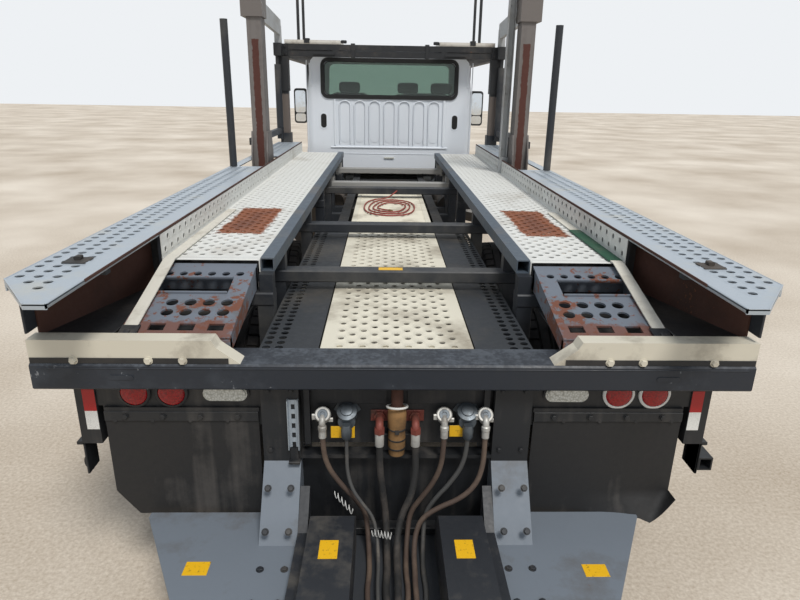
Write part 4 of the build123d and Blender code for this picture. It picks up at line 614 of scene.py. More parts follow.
# Rear ramps: short plates that lead off the runways down to the beam, with large tie-down holes,
# a square opening and notches. They take the most wear, so they are half rust, half blue-grey.
ramp_rust = weathered(
    "ramp_steel_rusty", "6A717B", "57514C", "6E4434", cover=0.45, chips=0.53, rough=0.75, chip_mm=38, patch_mm=260,
)
stained(ramp_rust, "6B4233", (0.6, 3.44, 1.0), (1.04, 3.56, 1.4), ragged=0.05, grain=0.8, amount=0.85)
stained(ramp_rust, "6B4233", (0.955, 3.15, 1.0), (1.04, 3.56, 1.4), ragged=0.04, grain=0.8, amount=0.85)
slope = ((3.004, 1.26), (3.55, 1.132))
cells = steps_of(0.64, 0.06, 6)
ramps = [
    at(perforated(cells, (0.06, 0.122), 0.017, thick=0.008, rim=0.004), 0, slope),
    at(perforated(steps_of(0.64, 0.072, 4), (0.285, 0.357, 0.429), 0.024, thick=0.008, rim=0.004), 0, slope),
]
plain = (
    (614, 1027, 0, 60), (614, 640, 60, 122), (1000, 1027, 60, 122), (614, 1027, 122, 132), (614, 690, 132, 250),
    (990, 1027, 132, 250),
    (614, 1027, 250, 285), (614, 640, 285, 429), (928, 1027, 285, 429), (614, 1027, 429, 470),
    (614, 1027, 515, 560),
    (614, 650, 470, 515), (710, 760, 470, 515), (820, 870, 470, 515), (930, 1027, 470, 515),
)
ramps += [at(slab(*limits, -8, 0, "z"), 0, slope) for limits in plain]
ramps += [at(box(690, 990, y, y + 8, -6, 10), 0, slope) for y in (126, 248)]
ramps += [box(614, 1027, 3006, 3040, 1150, 1248), box(614, 1027, 3522, 3548, 1072, 1124)]
cheek = [(3010, 1150), (3010, 1250), (3546, 1124), (3546, 1072), (3080, 1150)]
ramps += [fold(cheek, x, x + 8, "x") for x in (614, 1019)]
make_piece("ramp_plates", both(ramps), ramp_rust, "grey_paint", ["rear_ramps"], crease=50)

# Centre planks: a cream tread plank at the rear, a ribbed off-white one ahead of it, and dark
# plates and perforated strips between the planks and the runway rails.
plank_cream = weathered(
    "plank_paint_cream", "DAD4C2", "8F8574", "6A5442", chips=0.66, rough=0.6, patch_mm=350, chip_mm=12,
)
plank = [
    at(part, 1.0465)
    for part in staggered(
        steps_of(-0.2475, 0.045, 11), 1.16, 0.0825, 28, 0.002, radius=0.013, rim=0.005, raised=0.0025,
    )
]
plank += [
    fold([(-300, 1042.5), (-247.5, 1042.5), (-247.5, 1046.5), (-298, 1046.5), (-300, 1044)], 1150, 3480),
    fold([(247.5, 1042.5), (300, 1042.5), (300, 1044), (298, 1046.5), (247.5, 1046.5)], 1150, 3480),
    box(-247.5, 247.5, 1150, 1160, 1042.5, 1046.5, 1), box(-247.5, 247.5, 3470, 3480, 1042.5, 1046.5, 1),
    box(-300, -292, 1150, 3480, 1020, 1042.5), box(292, 300, 1150, 3480, 1020, 1042.5),
]
for y in (1.21, 3.42):
    plank.append(bar((-0.296, 0.296), (y - 0.025, y + 0.025), (0.958, 1.042)))
make_piece("centre_plank", plank, plank_cream, "cream_paint", ["centre_deck"], crease=50)
rib_y = np.arange(-0.295, 1.086, 0.004)
rib_z = 1.044 + 0.0045 * np.clip(np.cos((rib_y + 0.295) * 2 * math.pi / 0.052) * 1.6, -1, 1)
ribbed = [run(list(zip(rib_y, rib_z)) + [(rib_y[-1], 1.034), (rib_y[0], 1.034)], -0.262, 0.262, "x")]
ribbed += both([slab(262, 300, 1018, 1050, -300, 1090)])
for y in (-0.24, 1.03):
    ribbed.append(bar((-0.296, 0.296), (y - 0.025, y + 0.025), (0.958, 1.033)))
make_piece("ribbed_plank", ribbed, plank_cream, "cream_paint", crease=50)
dark_plate = weathered("deck_plate_dark", "23272C", "4C4842", "5C4232", chips=0.65, rough=0.6)
sides = [
    slab(306, 434, 1036, 1043.5, 1150, 3480),
    at(perforated((0.434, 0.484, 0.534), steps_of(1.155, 0.05, 46), 0.0165, thick=0.006, rim=0.004), 1.0435),
]
for y in (1.35, 2.315, 3.28):
    sides.append(bar((0.36, 0.42), (y - 0.025, y + 0.025), (0.97, 1.036)))
make_piece("side_plates", both(sides), dark_plate, "dark_paint", crease=50)

# Rear beam: a box section across the tail under dark blue-black paint, scraped by chains along its
# top edge and marked by weld runs. Pale load plates are bolted over its ends.
beam_paint = weathered(
    "beam_paint_blue_black", "1D232C", "3A4048", "777A7E", cover=0.42, chips=0.61, patch_mm=300, chip_mm=26,
    relief_mm=1.2,
)
stained(beam_paint, "4A5058", (0.0, 3.4, 1.058), (1.3, 3.7, 1.09), ragged=0.03, grain=1.2, amount=0.7)
dress(beam_paint, "rear_beam")
load_cream = weathered(
    "load_plate_cream", "CFC9B8", "8D8577", "7A5A42", cover=0.45, chips=0.65, rough=0.6, patch_mm=200, chip_mm=24,
)
dress(load_cream, "load_plates")
fixings = bolts([(side * x, 3.642, 1.083) for side in (-1, 1) for x in (0.76, 0.88, 1.14)], rearward, 13, 14)
make_piece("load_plate_bolts", fixings, load_cream, "cream_paint")
# A dark strip on the beam's face under the load plates is painted shade in the gap beneath them.
make_piece("load_plate_gap_shade", both([box(600, 1292, 3642.5, 3644.5, 1071, 1092, 0.5)]), chassis_paint, "dark_paint")
welds = [box(-1270, 1270, 3648.5, 3652, 1052, 1057, 1)]
for middle in (-0.98, 0.98):
    turn = np.linspace(0, 2 * math.pi, 24, endpoint=False)
    oval = np.stack(
        [middle + 0.034 * np.sign(np.cos(turn)) + 0.009 * np.cos(turn), 1.02 + 0.009 * np.sin(turn)], -1,
    )
    welds.append(run(oval[::-1], 3.6485, 3.6525))
make_piece("beam_welds", welds, beam_paint, "dark_paint", crease=40)

# Deck tubes: square cross tubes under black paint, worn to bright grey on top where tyres scrub,
# with a blank yellow label on the last one.
tube_paint = weathered("tube_paint_black", "22262C", "55534F", "6A5140")
stained(tube_paint, "A5A4A0", (-0.1, -1.62, 1.08), (0.6, -0.3, 1.2), ragged=0.05, amount=0.8)
dress(tube_paint, "rack_guides", "side_poles")
deck = both(
    [fold([(1030, 1135), (1092, 1135), (1092, 1145), (1042, 1145), (1042, 1392), (1030, 1392)], -1820, 3000)]
)
for y in (-1.7, -1.49, -0.4, -0.05, 0.65, 1.55, 2.67, 3.024):
    reach = 1.275 if y == -0.05 else 1.042
    spans = [(0.54, reach), (-reach, -0.54)] if y in (-1.7, 0.65, 3.024) else [(-reach, reach)]
    deck += [bar(span, (y - 0.045, y + 0.045), (1.085, 1.145), 0.006) for span in spans]
    stands = [
        ((0.54, 0.61), 0.04, (0.8, 1.085)), ((0.43, 0.54), 0.04, (0.8, 0.9)), ((0.54, 0.6), 0.03, (1.145, 1.225)),
    ]
    stands += [] if y == 3.024 else [((0.6, 1.03), 0.03, (1.145, 1.22))]
    deck += both([bar(x, (y - half, y + half), z) for x, half, z in stands])
deck += both([box(1285, 1294, 3560, 3640, 1180, 1372), box(1060, 1262, 3440, 3480, 1345, 1374)])
make_piece("deck_tubes", deck, tube_paint, "dark_paint", ["deck_frame"])
label_yellow, tree, shader, place = new_material("label_vinyl_yellow")
scuffs = add(tree, "TexNoise", {"Vector": place, "Scale": 70.0, "Detail": 5.0, "Roughness": 0.7})
worn = add(tree, "MapRange", {0: scuffs, 1: 0.56, 2: 0.68})
ink = add(tree, "Mix", {0: worn, 6: linear("E8B41C"), 7: linear("9C7A22")}, data_type="RGBA")
fill(shader, {"Base Color": ink.outputs[2], "Roughness": 0.45})
labels = [
    box(-40, 80, 2645, 2692, 1145.2, 1146.2, 0.4),
    box(160, 250, 3592.5, 3593.6, 742, 792, 0.4), box(-275, -200, 3592.5, 3593.6, 748, 796, 0.4),
    box(205, 270, 3870, 3960, 500.2, 501.2, 0.4), box(-265, -200, 3870, 3960, 500.2, 501.2, 0.4),
    box(660, 745, 3860, 3925, 400.2, 401.2, 0.4), box(-745, -660, 3880, 3940, 400.2, 401.2, 0.4),
]
make_piece("blank_labels", labels, label_yellow, "cream_paint")

# Rear wall: a recessed centre plate between two channel pilasters, a ledge, and lamp panels on
# either side, all under black paint with scuffs, dust and bolt heads.
wall_black = weathered(
    "wall_paint_black", "1B1D20", "4A4744", "5A4334", cover=0.45, chips=0.66, patch_mm=260, streaks=0.5,
)
dress(wall_black, "rear_wall")
wall_trim = both(
    bolts([(x, 3.592, z) for x in (0.395, 0.48) for z in (0.69, 0.94)], rearward, 9, 8)
    + bolts([(x, 3.568, 0.805) for x in (0.64, 0.78, 0.92, 1.06)], rearward, 9, 9)
)
wall_trim += both([
    slab(330, 352, 700, 965, 3540, 3572),
    slab(520, 1096, 842, 858, 3560, 3572),
    slab(520, 1096, 958, 968, 3560, 3576),
    box(40, 300, 3540, 3546, 862, 958),
])
make_piece("wall_trim", wall_trim, wall_black, "dark_paint")

# The slotted bracket on the left pilaster is a strip of galvanised channel, black at its foot.
slotted = [box(368, 372, 3594, 3616, 700, 908), box(406, 410, 3594, 3616, 700, 908)]
for z in range(705, 905, 40):
    slotted += [
        box(x, x + 10, 3594, 3598, z, z + 40, 0.5)
        for x in (372, 396)
    ] + [box(382, 396, 3594, 3598, z + 22, z + 40, 0.5)]
make_piece("slotted_bracket", slotted, galvanised, "galvanised")
make_piece(
    "bracket_foot", [box(374, 404, 3594, 3604, 642, 702), box(368, 410, 3594, 3620, 640, 652)], wall_black,
    "dark_paint",
)

# Tail lamps: moulded red lenses with rings and a grid of small prisms, two round ones a side, and
# a clear oval one. The right-hand pair sits in white flanges. Red and white tape stands outside.
def lens(name, lit, deep, scale, rough):
    """Moulded acrylic whose colour deepens from the middle of each small prism to its edge."""
    made, tree, shader, place = new_material(name)
    prisms = add(tree, "TexVoronoi", {"Vector": place, "Scale": scale})
    glow = add(tree, "Mix", {0: prisms.outputs["Distance"], 6: linear(lit), 7: linear(deep)}, data_type="RGBA")
    fill(shader, {"Base Color": glow.outputs[2], "Roughness": rough})
    return made


red_lens = lens("lens_acrylic_red", "B3161B", "6E0A10", 170, 0.16)
clear_lens = lens("lens_acrylic_clear", "E9EAE4", "9C9C90", 120, 0.14)
white_plastic = weathered("flange_plastic_white", "D8D8D4", "9A958C", "7C766E", cover=0.35, chips=0.7, rough=0.4)
lamp_z = 0.916
dome = [(50, 4), (50, 9), (46, 12.5), (36, 15), (30, 14.6), (28, 15.6), (12, 17.2), (1, 17.5)]
reds, clears, flanges, grommets = [], [], [], []
for side in (-1, 1):
    for x in (0.98, 0.842):
        spot = (side * x, 3.56, lamp_z)
        reds.append(turned(dome, spot, rearward, 40))
        ring = [(51, 0), (61, 0), (61, 8), (57, 11), (51, 11), (50, 6)]
        (flanges if side < 0 else grommets).append(turned(ring, spot, rearward, 40))
    turn = np.linspace(0, 2 * math.pi, 40, endpoint=False)
    for group, grow, start, end in (
        (grommets, 0.0, 3.56, 3.569), (clears, -0.007, 3.566, 3.574), (clears, -0.013, 3.574, 3.578),
    ):
        oval = np.stack(
            [
                side * 0.642 + 0.053 * np.sign(np.cos(turn)) + (0.036 + grow) * np.cos(turn),
                lamp_z + (0.036 + grow) * np.sin(turn),
            ],
            -1,
        )
        group.append(run(oval, start, end))
make_piece("lamp_lenses_red", reds, red_lens, "red_lens", ["tail_lamps"], crease=60)
make_piece("lamp_lenses_clear", clears, clear_lens, "glass", crease=60)
make_piece("lamp_flanges_white", flanges, white_plastic, "matte_plastic", crease=40)
make_piece("lamp_grommets", grommets, wall_black, "rubber", crease=40)
tape, tree, shader, place = new_material("reflective_tape_red_white")
axes = add(tree, "SeparateXYZ", {0: place})
lower = add(tree, "Math", {0: axes.outputs[2], 1: 0.84}, operation="LESS_THAN")
cells = add(tree, "TexVoronoi", {"Vector": place, "Scale": 330.0}, feature="DISTANCE_TO_EDGE")
tone = add(tree, "Mix", {0: lower, 6: linear("B01A1C"), 7: linear("E4E4E0")}, data_type="RGBA")
seam = add(tree, "MapRange", {0: cells.outputs["Distance"], 1: 0.0, 2: 0.08, 3: 0.55, 4: 1.0})
shade = add(tree, "Mix", {0: 1.0, 6: tone.outputs[2], 7: seam}, data_type="RGBA", blend_type="MULTIPLY")
fill(shader, {"Base Color": shade.outputs[2], "Roughness": 0.3})
tapes = both([slab(1126, 1172, 762, 930, 3566.2, 3567.6)])
make_piece("side_tapes", tapes, tape, "red_lens")
hooks = both([box(1196, 1226, 3470, 3560, 690, 704), box(1196, 1204, 3470, 3560, 560, 704)])
turn = np.linspace(-0.3, math.pi * 1.2, 18)
centre_line = np.stack([1.2165 + 0.02 * np.sin(turn), 0 * turn + 3.5, 0.575 - 0.03 * np.cos(turn)], -1)
hooks.append(swept(centre_line, 0.006, 8))
hooks += [square_tube((-1.262, -1.206), (0.575, 0.631), 0.006, 3.45, 3.56), box(-1206, -1196, 3450, 3560, 560, 700)]
make_piece("side_hooks", hooks, wall_black, "dark_paint")

# Mud flaps: black moulded rubber hung from a clamp bar, a little wavy, scuffed and grey with dust.
# One outer corner of the right-hand flap is torn and curls towards the rear.
flap_rubber = weathered(
    "flap_rubber_black", "1A1A1B", "5B5753", "3A3836", cover=0.42, chips=0.69, rough=0.62, patch_mm=500,
    streaks=0.35, relief_mm=0.3,
)


def flap(side, torn):
    """A flap as a two-sided grid over (u across, v down), shifted back by long waves that grow
    towards the foot, with its outer foot corner cut off, and curled back there if it is torn."""
    u, v = np.meshgrid(np.linspace(0, 1, 30), np.linspace(0, 1, 26), indexing="ij")
    across, down = 0.524 + 0.574 * u, 0.856 - 0.478 * v
    corner = np.clip((u - 0.86) / 0.14, 0, 1)
    down = np.maximum(down, 0.378 + 0.11 * corner)
    back = 0.004 * v * np.sin(u * 7.0 + side) + 0.006 * v**2 * np.sin(u * 3.1 + 1.0 + side)
    if torn:
        curl = np.clip(v - 0.8, 0, 1) * np.clip((u - 0.35) / 0.65, 0, 1)
        back = back + 0.34 * curl
        down = down + 0.1 * curl * np.sin(u * 19.0)
    sheets = [np.stack([side * across, 3.561 + depth + back, down], -1).reshape(-1, 3) for depth in (0.0, 0.008)]
    count = u.size
    front = np.array(grid_faces(30, 26))
    edge = np.concatenate(
        [np.arange(26), np.arange(1, 30) * 26 + 25, (29 * 26 + np.arange(24, -1, -1)), np.arange(28, 0, -1) * 26]
    )
    rim = np.stack([edge, np.roll(edge, -1), np.roll(edge, -1) + count, edge + count], -1)
    faces = np.concatenate([front[:, ::-1], front + count, rim])
    if side > 0:
        faces = faces[:, ::-1]
    return np.concatenate(sheets), [tuple(face) for face in faces.tolist()]


make_piece("mud_flap_left", [flap(1, False)], flap_rubber, "rubber", ["mud_flaps"], crease=60)
make_piece("mud_flap_right", [flap(-1, True)], flap_rubber, "rubber", crease=60)
clamps = [box(524, 1098, 3570.5, 3576, 802, 842)]
clamps += bolts([(x, 3.576, 0.822) for x in (0.6, 0.74, 0.88, 1.02)], rearward, 11, 9)
make_piece("flap_clamps", both(clamps), wall_black, "dark_paint")

# Hitch frame: grey drop legs and arms of folded plate with dark bolted channels inside them, a
# tray, wing panels and the coupling plate. The tray's middle under the hoses is painted near-black
# as shade, and the arms' far ends are painted pale as sunlight past the rear beam's shadow.
hitch_grey = weathered(
    "hitch_paint_grey", "6F7780", "57534E", "6B5040", cover=0.45, chips=0.63, rough=0.55, patch_mm=280, chip_mm=24,
)
# Painted shade: a near-black patch over the tray's middle, under the beam and the hoses.
stained(hitch_grey, "24262A", (0.0, 3.0, 0.2), (0.34, 4.25, 0.4), ragged=0.03, amount=0.9)
# Painted sunlight: the arms' far ends are pale, as if lit past the rear beam's shadow.
stained(hitch_grey, "C9CACA", (0.37, 4.06, 0.34), (0.52, 4.5, 0.46), ragged=0.04, amount=0.85)
dress(hitch_grey, "hitch_frame")
cover_black = weathered("cover_paint_black", "23262B", "5A5650", "6B5A48", patch_mm=180, chip_mm=20)
dress(cover_black, "hitch_covers")
channels = [fold([(3640, 400), (3640, 560), (3760, 440), (4240, 440), (4240, 400)], 366, 330, "x")]
channels += bolts([(0.33, y, 0.425) for y in np.arange(3.72, 4.22, 0.07)], (-1, 0, 0), 10, 9)
channels += bolts([(x, y, 0.4005) for x in (0.395, 0.48) for y in (3.9, 4.05, 4.2)], upward, 11, 9)
leg_bolts = [(x, 3.64 + 0.188 * t, 0.643 - 0.24 * t) for x in (0.395, 0.48) for t in (0.25, 0.75)]
channels += bolts(leg_bolts, (0, 0.787, 0.617), 11, 9)
make_piece("arm_channels", both(channels), cover_black, "dark_paint")

# Tail plate: a dark plate closes the gap between the wall's ledge and the tray, behind the hoses,
# with a clamp box for the centre pipe. All are painted black, under road dust.
make_piece(
    "tail_plate",
    [
        box(-366, 366, 3542, 3548, 293, 650), box(-75, 75, 3541, 3566, 668, 742),
        box(-240, 240, 3548, 3600, 300, 330),
    ],
    wall_black, "dark_paint",
)


def eased(points, steps=6):
    """A smooth path through the points, each span a Catmull-Rom cubic."""
    points = np.asarray(points, float)
    points = np.concatenate([[2 * points[0] - points[1]], points, [2 * points[-1] - points[-2]]])
    t = (np.arange(steps) / steps)[:, None]
    spans = []
    for a, b, c, d in zip(points, points[1:], points[2:], points[3:]):
        spans.append(
            0.5 * (2 * b + (c - a) * t + (2 * a - 5 * b + 4 * c - d) * t**2 + (3 * b - a - 3 * c + d) * t**3)
        )
    return np.concatenate(spans + [points[-2:-1]])


# Couplings: cast air heads with a seal and a claw, sockets with hinged lids, and oil elbows under
# red-brown paint. Each is screwed into the rear wall, and is worn, greasy and dusty.
casting = weathered(
    "coupling_casting_grey", "B9B8B3", "77716A", "5E4232", rough=0.45, metallic=0.35, patch_mm=70, chip_mm=7,
)
socket_metal = weathered(
    "socket_metal_dark", "5F666C", "3B3A38", "2B2B2C", chips=0.66, rough=0.4, metallic=0.6, patch_mm=60, chip_mm=7,
)
oil_paint = weathered(
    "oil_fitting_red_brown", "7C4036", "4E3A32", "A39C94", chips=0.67, rough=0.55, metallic=0.2, patch_mm=60,
    chip_mm=8,
)
boot_tan = weathered(
    "boot_canvas_tan", "8C6A42", "5A452E", "B0793A", cover=0.55, chips=0.62, rough=0.85, patch_mm=90, chip_mm=12,
)
wall_face, fitting_z, outlet_y = 3.54, 0.812, 3.615
heads, sockets, oil, outlets = [], [], [], []
for x in (-0.334, -0.178, 0.28):
    spot = (x, wall_face, fitting_z)
    heads += [
        turned([(19, 0), (19, 14)], spot, rearward, 6),
        turned([(13, 14), (13, 36), (18, 42)], spot, rearward, 16),
        turned([(20, 0), (28, 4), (31, 12), (31, 20), (27, 26)], (x, 3.574, 0.828), (0, 0.8, 0.6), 24),
        bar((x + 0.014, x + 0.04), (3.584, 3.594), (0.818, 0.842), 0.003),
        bar((x - 0.038, x - 0.014), (3.58, 3.59), (0.806, 0.824), 0.003),
        swept(eased([(x, outlet_y, 0.8), (x, 3.613, 0.818), (x, 3.604, 0.828), (x, 3.588, 0.832)], 4), 0.0125, 12),
    ]
    outlets += [
        turned([(14.5, 758), (14.5, 788), (16.5, 790), (16.5, 804), (12.5, 808)], (x, outlet_y, 0), upward, 12)
    ]
    sockets.append(turned([(20, 26.2), (18.5, 29), (10, 29), (8, 25)], (x, 3.574, 0.828), (0, 0.8, 0.6), 20))
lug = ((-52, 836), (-30, 818), (30, 818), (52, 836), (36, 862), (-36, 862))
for x in (-0.267, 0.19):
    spot = (x, wall_face, fitting_z)
    sockets += [
        turned([(37, 0), (37, 6), (31, 10), (29, 40), (33, 44), (33, 56)], spot, rearward, 28),
        turned([(36, 0), (39, 3), (38, 8), (24, 11), (22, 16), (12, 18)], (x, 3.574, 0.842), (0, 0.55, 0.83), 28),
        run([(x + across / 1000, up / 1000) for across, up in lug], 3.5405, 3.5445),
        turned([(14, 752), (20, 762), (21, 790), (17, 812)], (x, outlet_y, 0), upward, 20),
    ]
for x in (-0.07, 0.066):
    oil += [
        turned([(23, 0), (23, 20)], (x, wall_face, fitting_z), rearward, 6),
        swept(
            eased([(x, 3.556, fitting_z), (x, 3.588, 0.813), (x, 3.609, 0.804), (x, outlet_y, 0.78)], 5), 0.015, 14,
        ),
        turned([(21, 776), (21, 796)], (x, outlet_y, 0), upward, 6),
        bar((x - 0.034, x + 0.034), (3.541, 3.548), (0.788, 0.836), 0.003),
    ]
    outlets += [turned([(16.5, 722), (17.5, 726), (17.5, 772), (16, 778)], (x, outlet_y, 0), upward, 18)]
make_piece("air_couplings", heads + outlets, casting, "aluminium", ["couplings"], crease=40)
make_piece("cable_sockets", sockets, socket_metal, "aluminium", crease=40)
make_piece("oil_elbows", oil, oil_paint, "dark_paint", crease=40)
# The centre pipe shares the sills' rust brown, which is darkened as painted shade.
make_piece("centre_pipe", [turned([(22.5, 856), (22.5, 968)], (0, 3.58, 0), upward, 24)], sill_rust_and_shade, "dark_paint")
boot = [
    (24, 664), (30, 668), (31, 690), (33, 700), (34, 735), (32, 765), (35, 800), (36, 835), (33, 862), (26, 868),
]
make_piece("pipe_boot", [turned(boot, (0, 3.58, 0), upward, 28)], boot_tan, "rubber", crease=50)
ties = [
    turned([(33.5, z), (35, z + 1), (35, z + 6), (33.5, z + 7)], (0, 3.58, 0), upward, 28)
    for z in (694, 732, 776)
]
ties.append(box(-8, 8, 3612, 3620, 770, 786))
make_piece("boot_ties", ties, flap_rubber, "rubber")
turn = np.linspace(0.55, 2 * math.pi - 0.55, 40)
clip = np.stack([0.038 * np.sin(turn), 3.584 - 0.038 * np.cos(turn), 0.872 - 0.01 * np.cos(turn)], -1)
make_piece("pipe_ring", [swept(clip, 0.0045, 8)], white_plastic, "matte_plastic")

# Hoses: rubber air hoses, oil hoses in woven sleeves and the power cables. They hang from their
# couplings, turn back over the tray and run on under its cross block.
hose_rubber = weathered(
    "hose_rubber_dusty", "242424", "57504A", "3A312B", chips=0.66, rough=0.75, patch_mm=120, chip_mm=9,
)
cable_grey = weathered(
    "cable_jacket_grey", "4A4A49", "6E675F", "2E2D2C", cover=0.45, chips=0.68, rough=0.6, patch_mm=90, chip_mm=9,
)
hose_brown = weathered(
    "hose_rubber_brown", "4E4038", "6E5E50", "33291F", chips=0.66, rough=0.75, patch_mm=120, chip_mm=9,
)


def cord(name, material, diameter, places, smooth, bevel):
    """A NURBS curve of order three through the places, with a round section and closed ends."""
    curve = bpy.data.curves.new(name, "CURVE")
    curve.dimensions, curve.resolution_u, curve.bevel_resolution, curve.use_fill_caps = "3D", smooth, bevel, True
    curve.bevel_depth = diameter / 2
    line = curve.splines.new("NURBS")
    line.points.add(len(places) - 1)
    for spot, place in zip(line.points, places):
        spot.co = (*place, 1)
    line.order_u, line.use_endpoint_u = 3, True
    curve.materials.append(material)
    made = bpy.data.objects.new(name, curve)
    scene.collection.objects.link(made)
    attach(made, "chassis")
    return made


def hose(name, material, diameter, fall, tray_x, tray_z, in_cad=True):
    """A hose that falls from its coupling through (x, z) points in the wall's plane, or through
    (x, y, z) points ahead of it, and runs on over the tray at one height. All in millimetres."""
    tray_y = (3725, 3812, 3900, 3985, 4259)[-len(tray_x) :]
    places = [(x, 3615, z) if len(rest) == 0 else (x, z, rest[0]) for x, z, *rest in fall]
    places += [(x, y, tray_z) for x, y in zip(tray_x, tray_y)]
    places = [(x / 1000, y / 1000, z / 1000) for x, y, z in places]
    made = cord(name + "_run", material, diameter, places, 10, 4)
    if in_cad:
        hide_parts(name)


fall = [(280, 782), (280, 706), (262, 625), (213, 548), (158, 482), (118, 417), (108, 3655, 347)]
hose("hose_air_left", hose_brown, 0.02, fall, (102, 99, 106, 98, 94), 304)
fall = [(66, 782), (66, 700), (63, 612), (52, 515), (40, 417), (36, 3655, 347)]
hose("hose_oil", hose_rubber, 0.026, fall, (34, 33, 40, 32, 28), 307)
fall = [(-178, 782), (-178, 706), (-170, 625), (-140, 548), (-95, 482), (-55, 417), (-45, 3655, 347)]
hose("hose_air_right", hose_brown, 0.02, fall, (-39, -36, -43, -35, -39), 304)
fall = [(-267, 782), (-267, 706), (-250, 624), (-204, 547), (-152, 481), (-116, 417), (-108, 3655, 347)]
hose("cable_power", cable_grey, 0.018, fall, (-103, -100, -107, -99, -103), 303)
fall = [
    (190, 760), (190, 690), (188, 3625, 610), (168, 3645, 545), (130, 3655, 490), (90, 3665, 440), (74, 3690, 382),
    (68, 3745, 336),
]
hose("cable_signal", cable_grey, 0.014, fall, (66, 69, 65, 61), 330, False)
fall = [
    (-334, 782), (-334, 710), (-330, 3630, 640), (-304, 3650, 570), (-245, 3660, 515), (-160, 3665, 478),
    (-95, 3675, 435),
]
fall += [(-72, 3705, 378), (-67, 3765, 336), (-68, 3835, 331)]
hose("hose_air_outer", hose_brown, 0.02, fall, (-66, -69, -66), 331, False)
fall = [
    (-70, 782), (-70, 700), (-74, 3625, 612), (-58, 3645, 520), (-22, 3655, 440), (-6, 3690, 378), (-3, 3750, 338),
]
hose("hose_oil_right", hose_rubber, 0.026, fall, (-3, -5, -3, -5), 335, False)
# Two small return springs of pale wire hang among the hoses, hooked over them.
springs = []
for start, end, coils in (
    ((0.236, 3.632, 0.52), (0.165, 3.66, 0.452), 5), ((0.092, 3.7, 0.392), (0.016, 3.716, 0.388), 6),
):
    t = np.linspace(0, 1, coils * 14)[:, None]
    middle = np.array(start) + (np.array(end) - start) * t
    swirl = 0.0125 * (
        np.cos(
            t * coils * 2 * math.pi
        ) * np.array((0.1, 0.3, 1.0)) + np.sin(t * coils * 2 * math.pi) * np.array((0.0, 1.0, -0.3))
    )
    springs.append(swept(middle + swirl, 0.0016, 6))
make_piece("return_springs", springs, white_plastic, "galvanised")

# Tie-down straps: flat woven webbing, off-white and grimy, laid over the runways and hooked at the
# ramps. The right-hand one wears a dark green sleeve.
webbing = weathered(
    "strap_webbing_white", "D6D2C6", "A8A092", "7E766A", cover=0.45, chips=0.67, rough=0.9, patch_mm=160, chip_mm=8,
)
tree, shader = webbing.node_tree, webbing.node_tree.nodes["Principled BSDF"]
weave = add(
    tree, "TexWave", {"Vector": add(tree, "TexCoord", {}).outputs["Object"], "Scale": 160.0, "Distortion": 0.5},
    bands_direction="Y",
)
weave_bump = add(tree, "Bump", {"Height": weave, "Strength": 0.5, "Distance": 0.0006})
fill(shader, {"Normal": weave_bump})
dress(webbing, "tie_straps")
sleeve_green = weathered(
    "strap_sleeve_green", "1E4A36", "4A5A4C", "14301F", cover=0.4, chips=0.66, rough=0.85, patch_mm=120, chip_mm=10,
)
make_piece("strap_sleeve", [box(-1020, -956, 2360, 2985, 1280.2, 1287.5, 3)], sleeve_green, "webbing")
hook_limits = ((955, 1021, 492, 552, 6, 10.5), (978, 998, 540, 575, 4, 22))
strap_hooks = both([at(box(*limits), 0, slope) for limits in hook_limits])
make_piece("strap_hooks", strap_hooks, cover_black, "dark_paint")

# Tall posts and lift beams: steel box sections whose grey paint is chalky and worn. Slide pads
# have rubbed a rust-brown stripe down each post's rear face. A bolted channel stands by the right one.
post_steel = weathered(
    "post_paint_grey", "726D6A", "544B46", "6A3F2C", rough=0.6, patch_mm=380, chip_mm=26, streaks=0.4,
)
stained(post_steel, "4C251B", (1.112, -0.1, 1.2), (1.18, 0.1, 2.38), ragged=0.014, grain=1.0)
stained(post_steel, "25262A", (1.07, -0.25, 1.0), (1.23, 0.12, 1.27), ragged=0.02, grain=1.0)
beam_grey = weathered(
    "lift_beam_paint_grey", "A9ABAB", "87827B", "6B4A3A", cover=0.45, chips=0.66, rough=0.55, patch_mm=320,
    chip_mm=24,
)
stained(beam_grey, "6E6864", (1.06, -0.15, 2.4), (1.3, 0.2, 3.0), ragged=0.02, grain=1.0)
dress(post_steel, "tall_posts")
dress(beam_grey, "rack_beams")
stays = [
    fold(
        [
            (1002, -165), (1066, -165), (1066, -105), (1060, -105), (1060, -159), (1008, -159), (1008, -105),
            (1002, -105),
        ],
        1400, 3300, "z",
    )
]
stays = both(stays)[1:]
stays += bolts([(-1.034, -0.159, z) for z in np.arange(1.5, 3.25, 0.24)], rearward, 9, 8)
stays += [
    box(-1080, -1002, -160, -110, 1150, 1420), box(-1092, -1064, -160, -110, 1600, 1640),
    box(-1092, -1064, -160, -110, 2900, 2940),
]
make_piece("bolted_channel", stays, beam_grey, "grey_paint")
feet = bolts([(x, 0.04, z) for x in (1.105, 1.195) for z in (1.17, 1.26)], rearward, 12, 10)
feet += bolts([(1.222, y, z) for y in (-0.15, 0.05) for z in (1.25, 1.4, 1.55)], (1, 0, 0), 12, 10)
feet.append(box(1092, 1208, 40, 46, 1146, 1150))
make_piece("post_bolts", both(feet), chassis_paint, "chassis_paint")

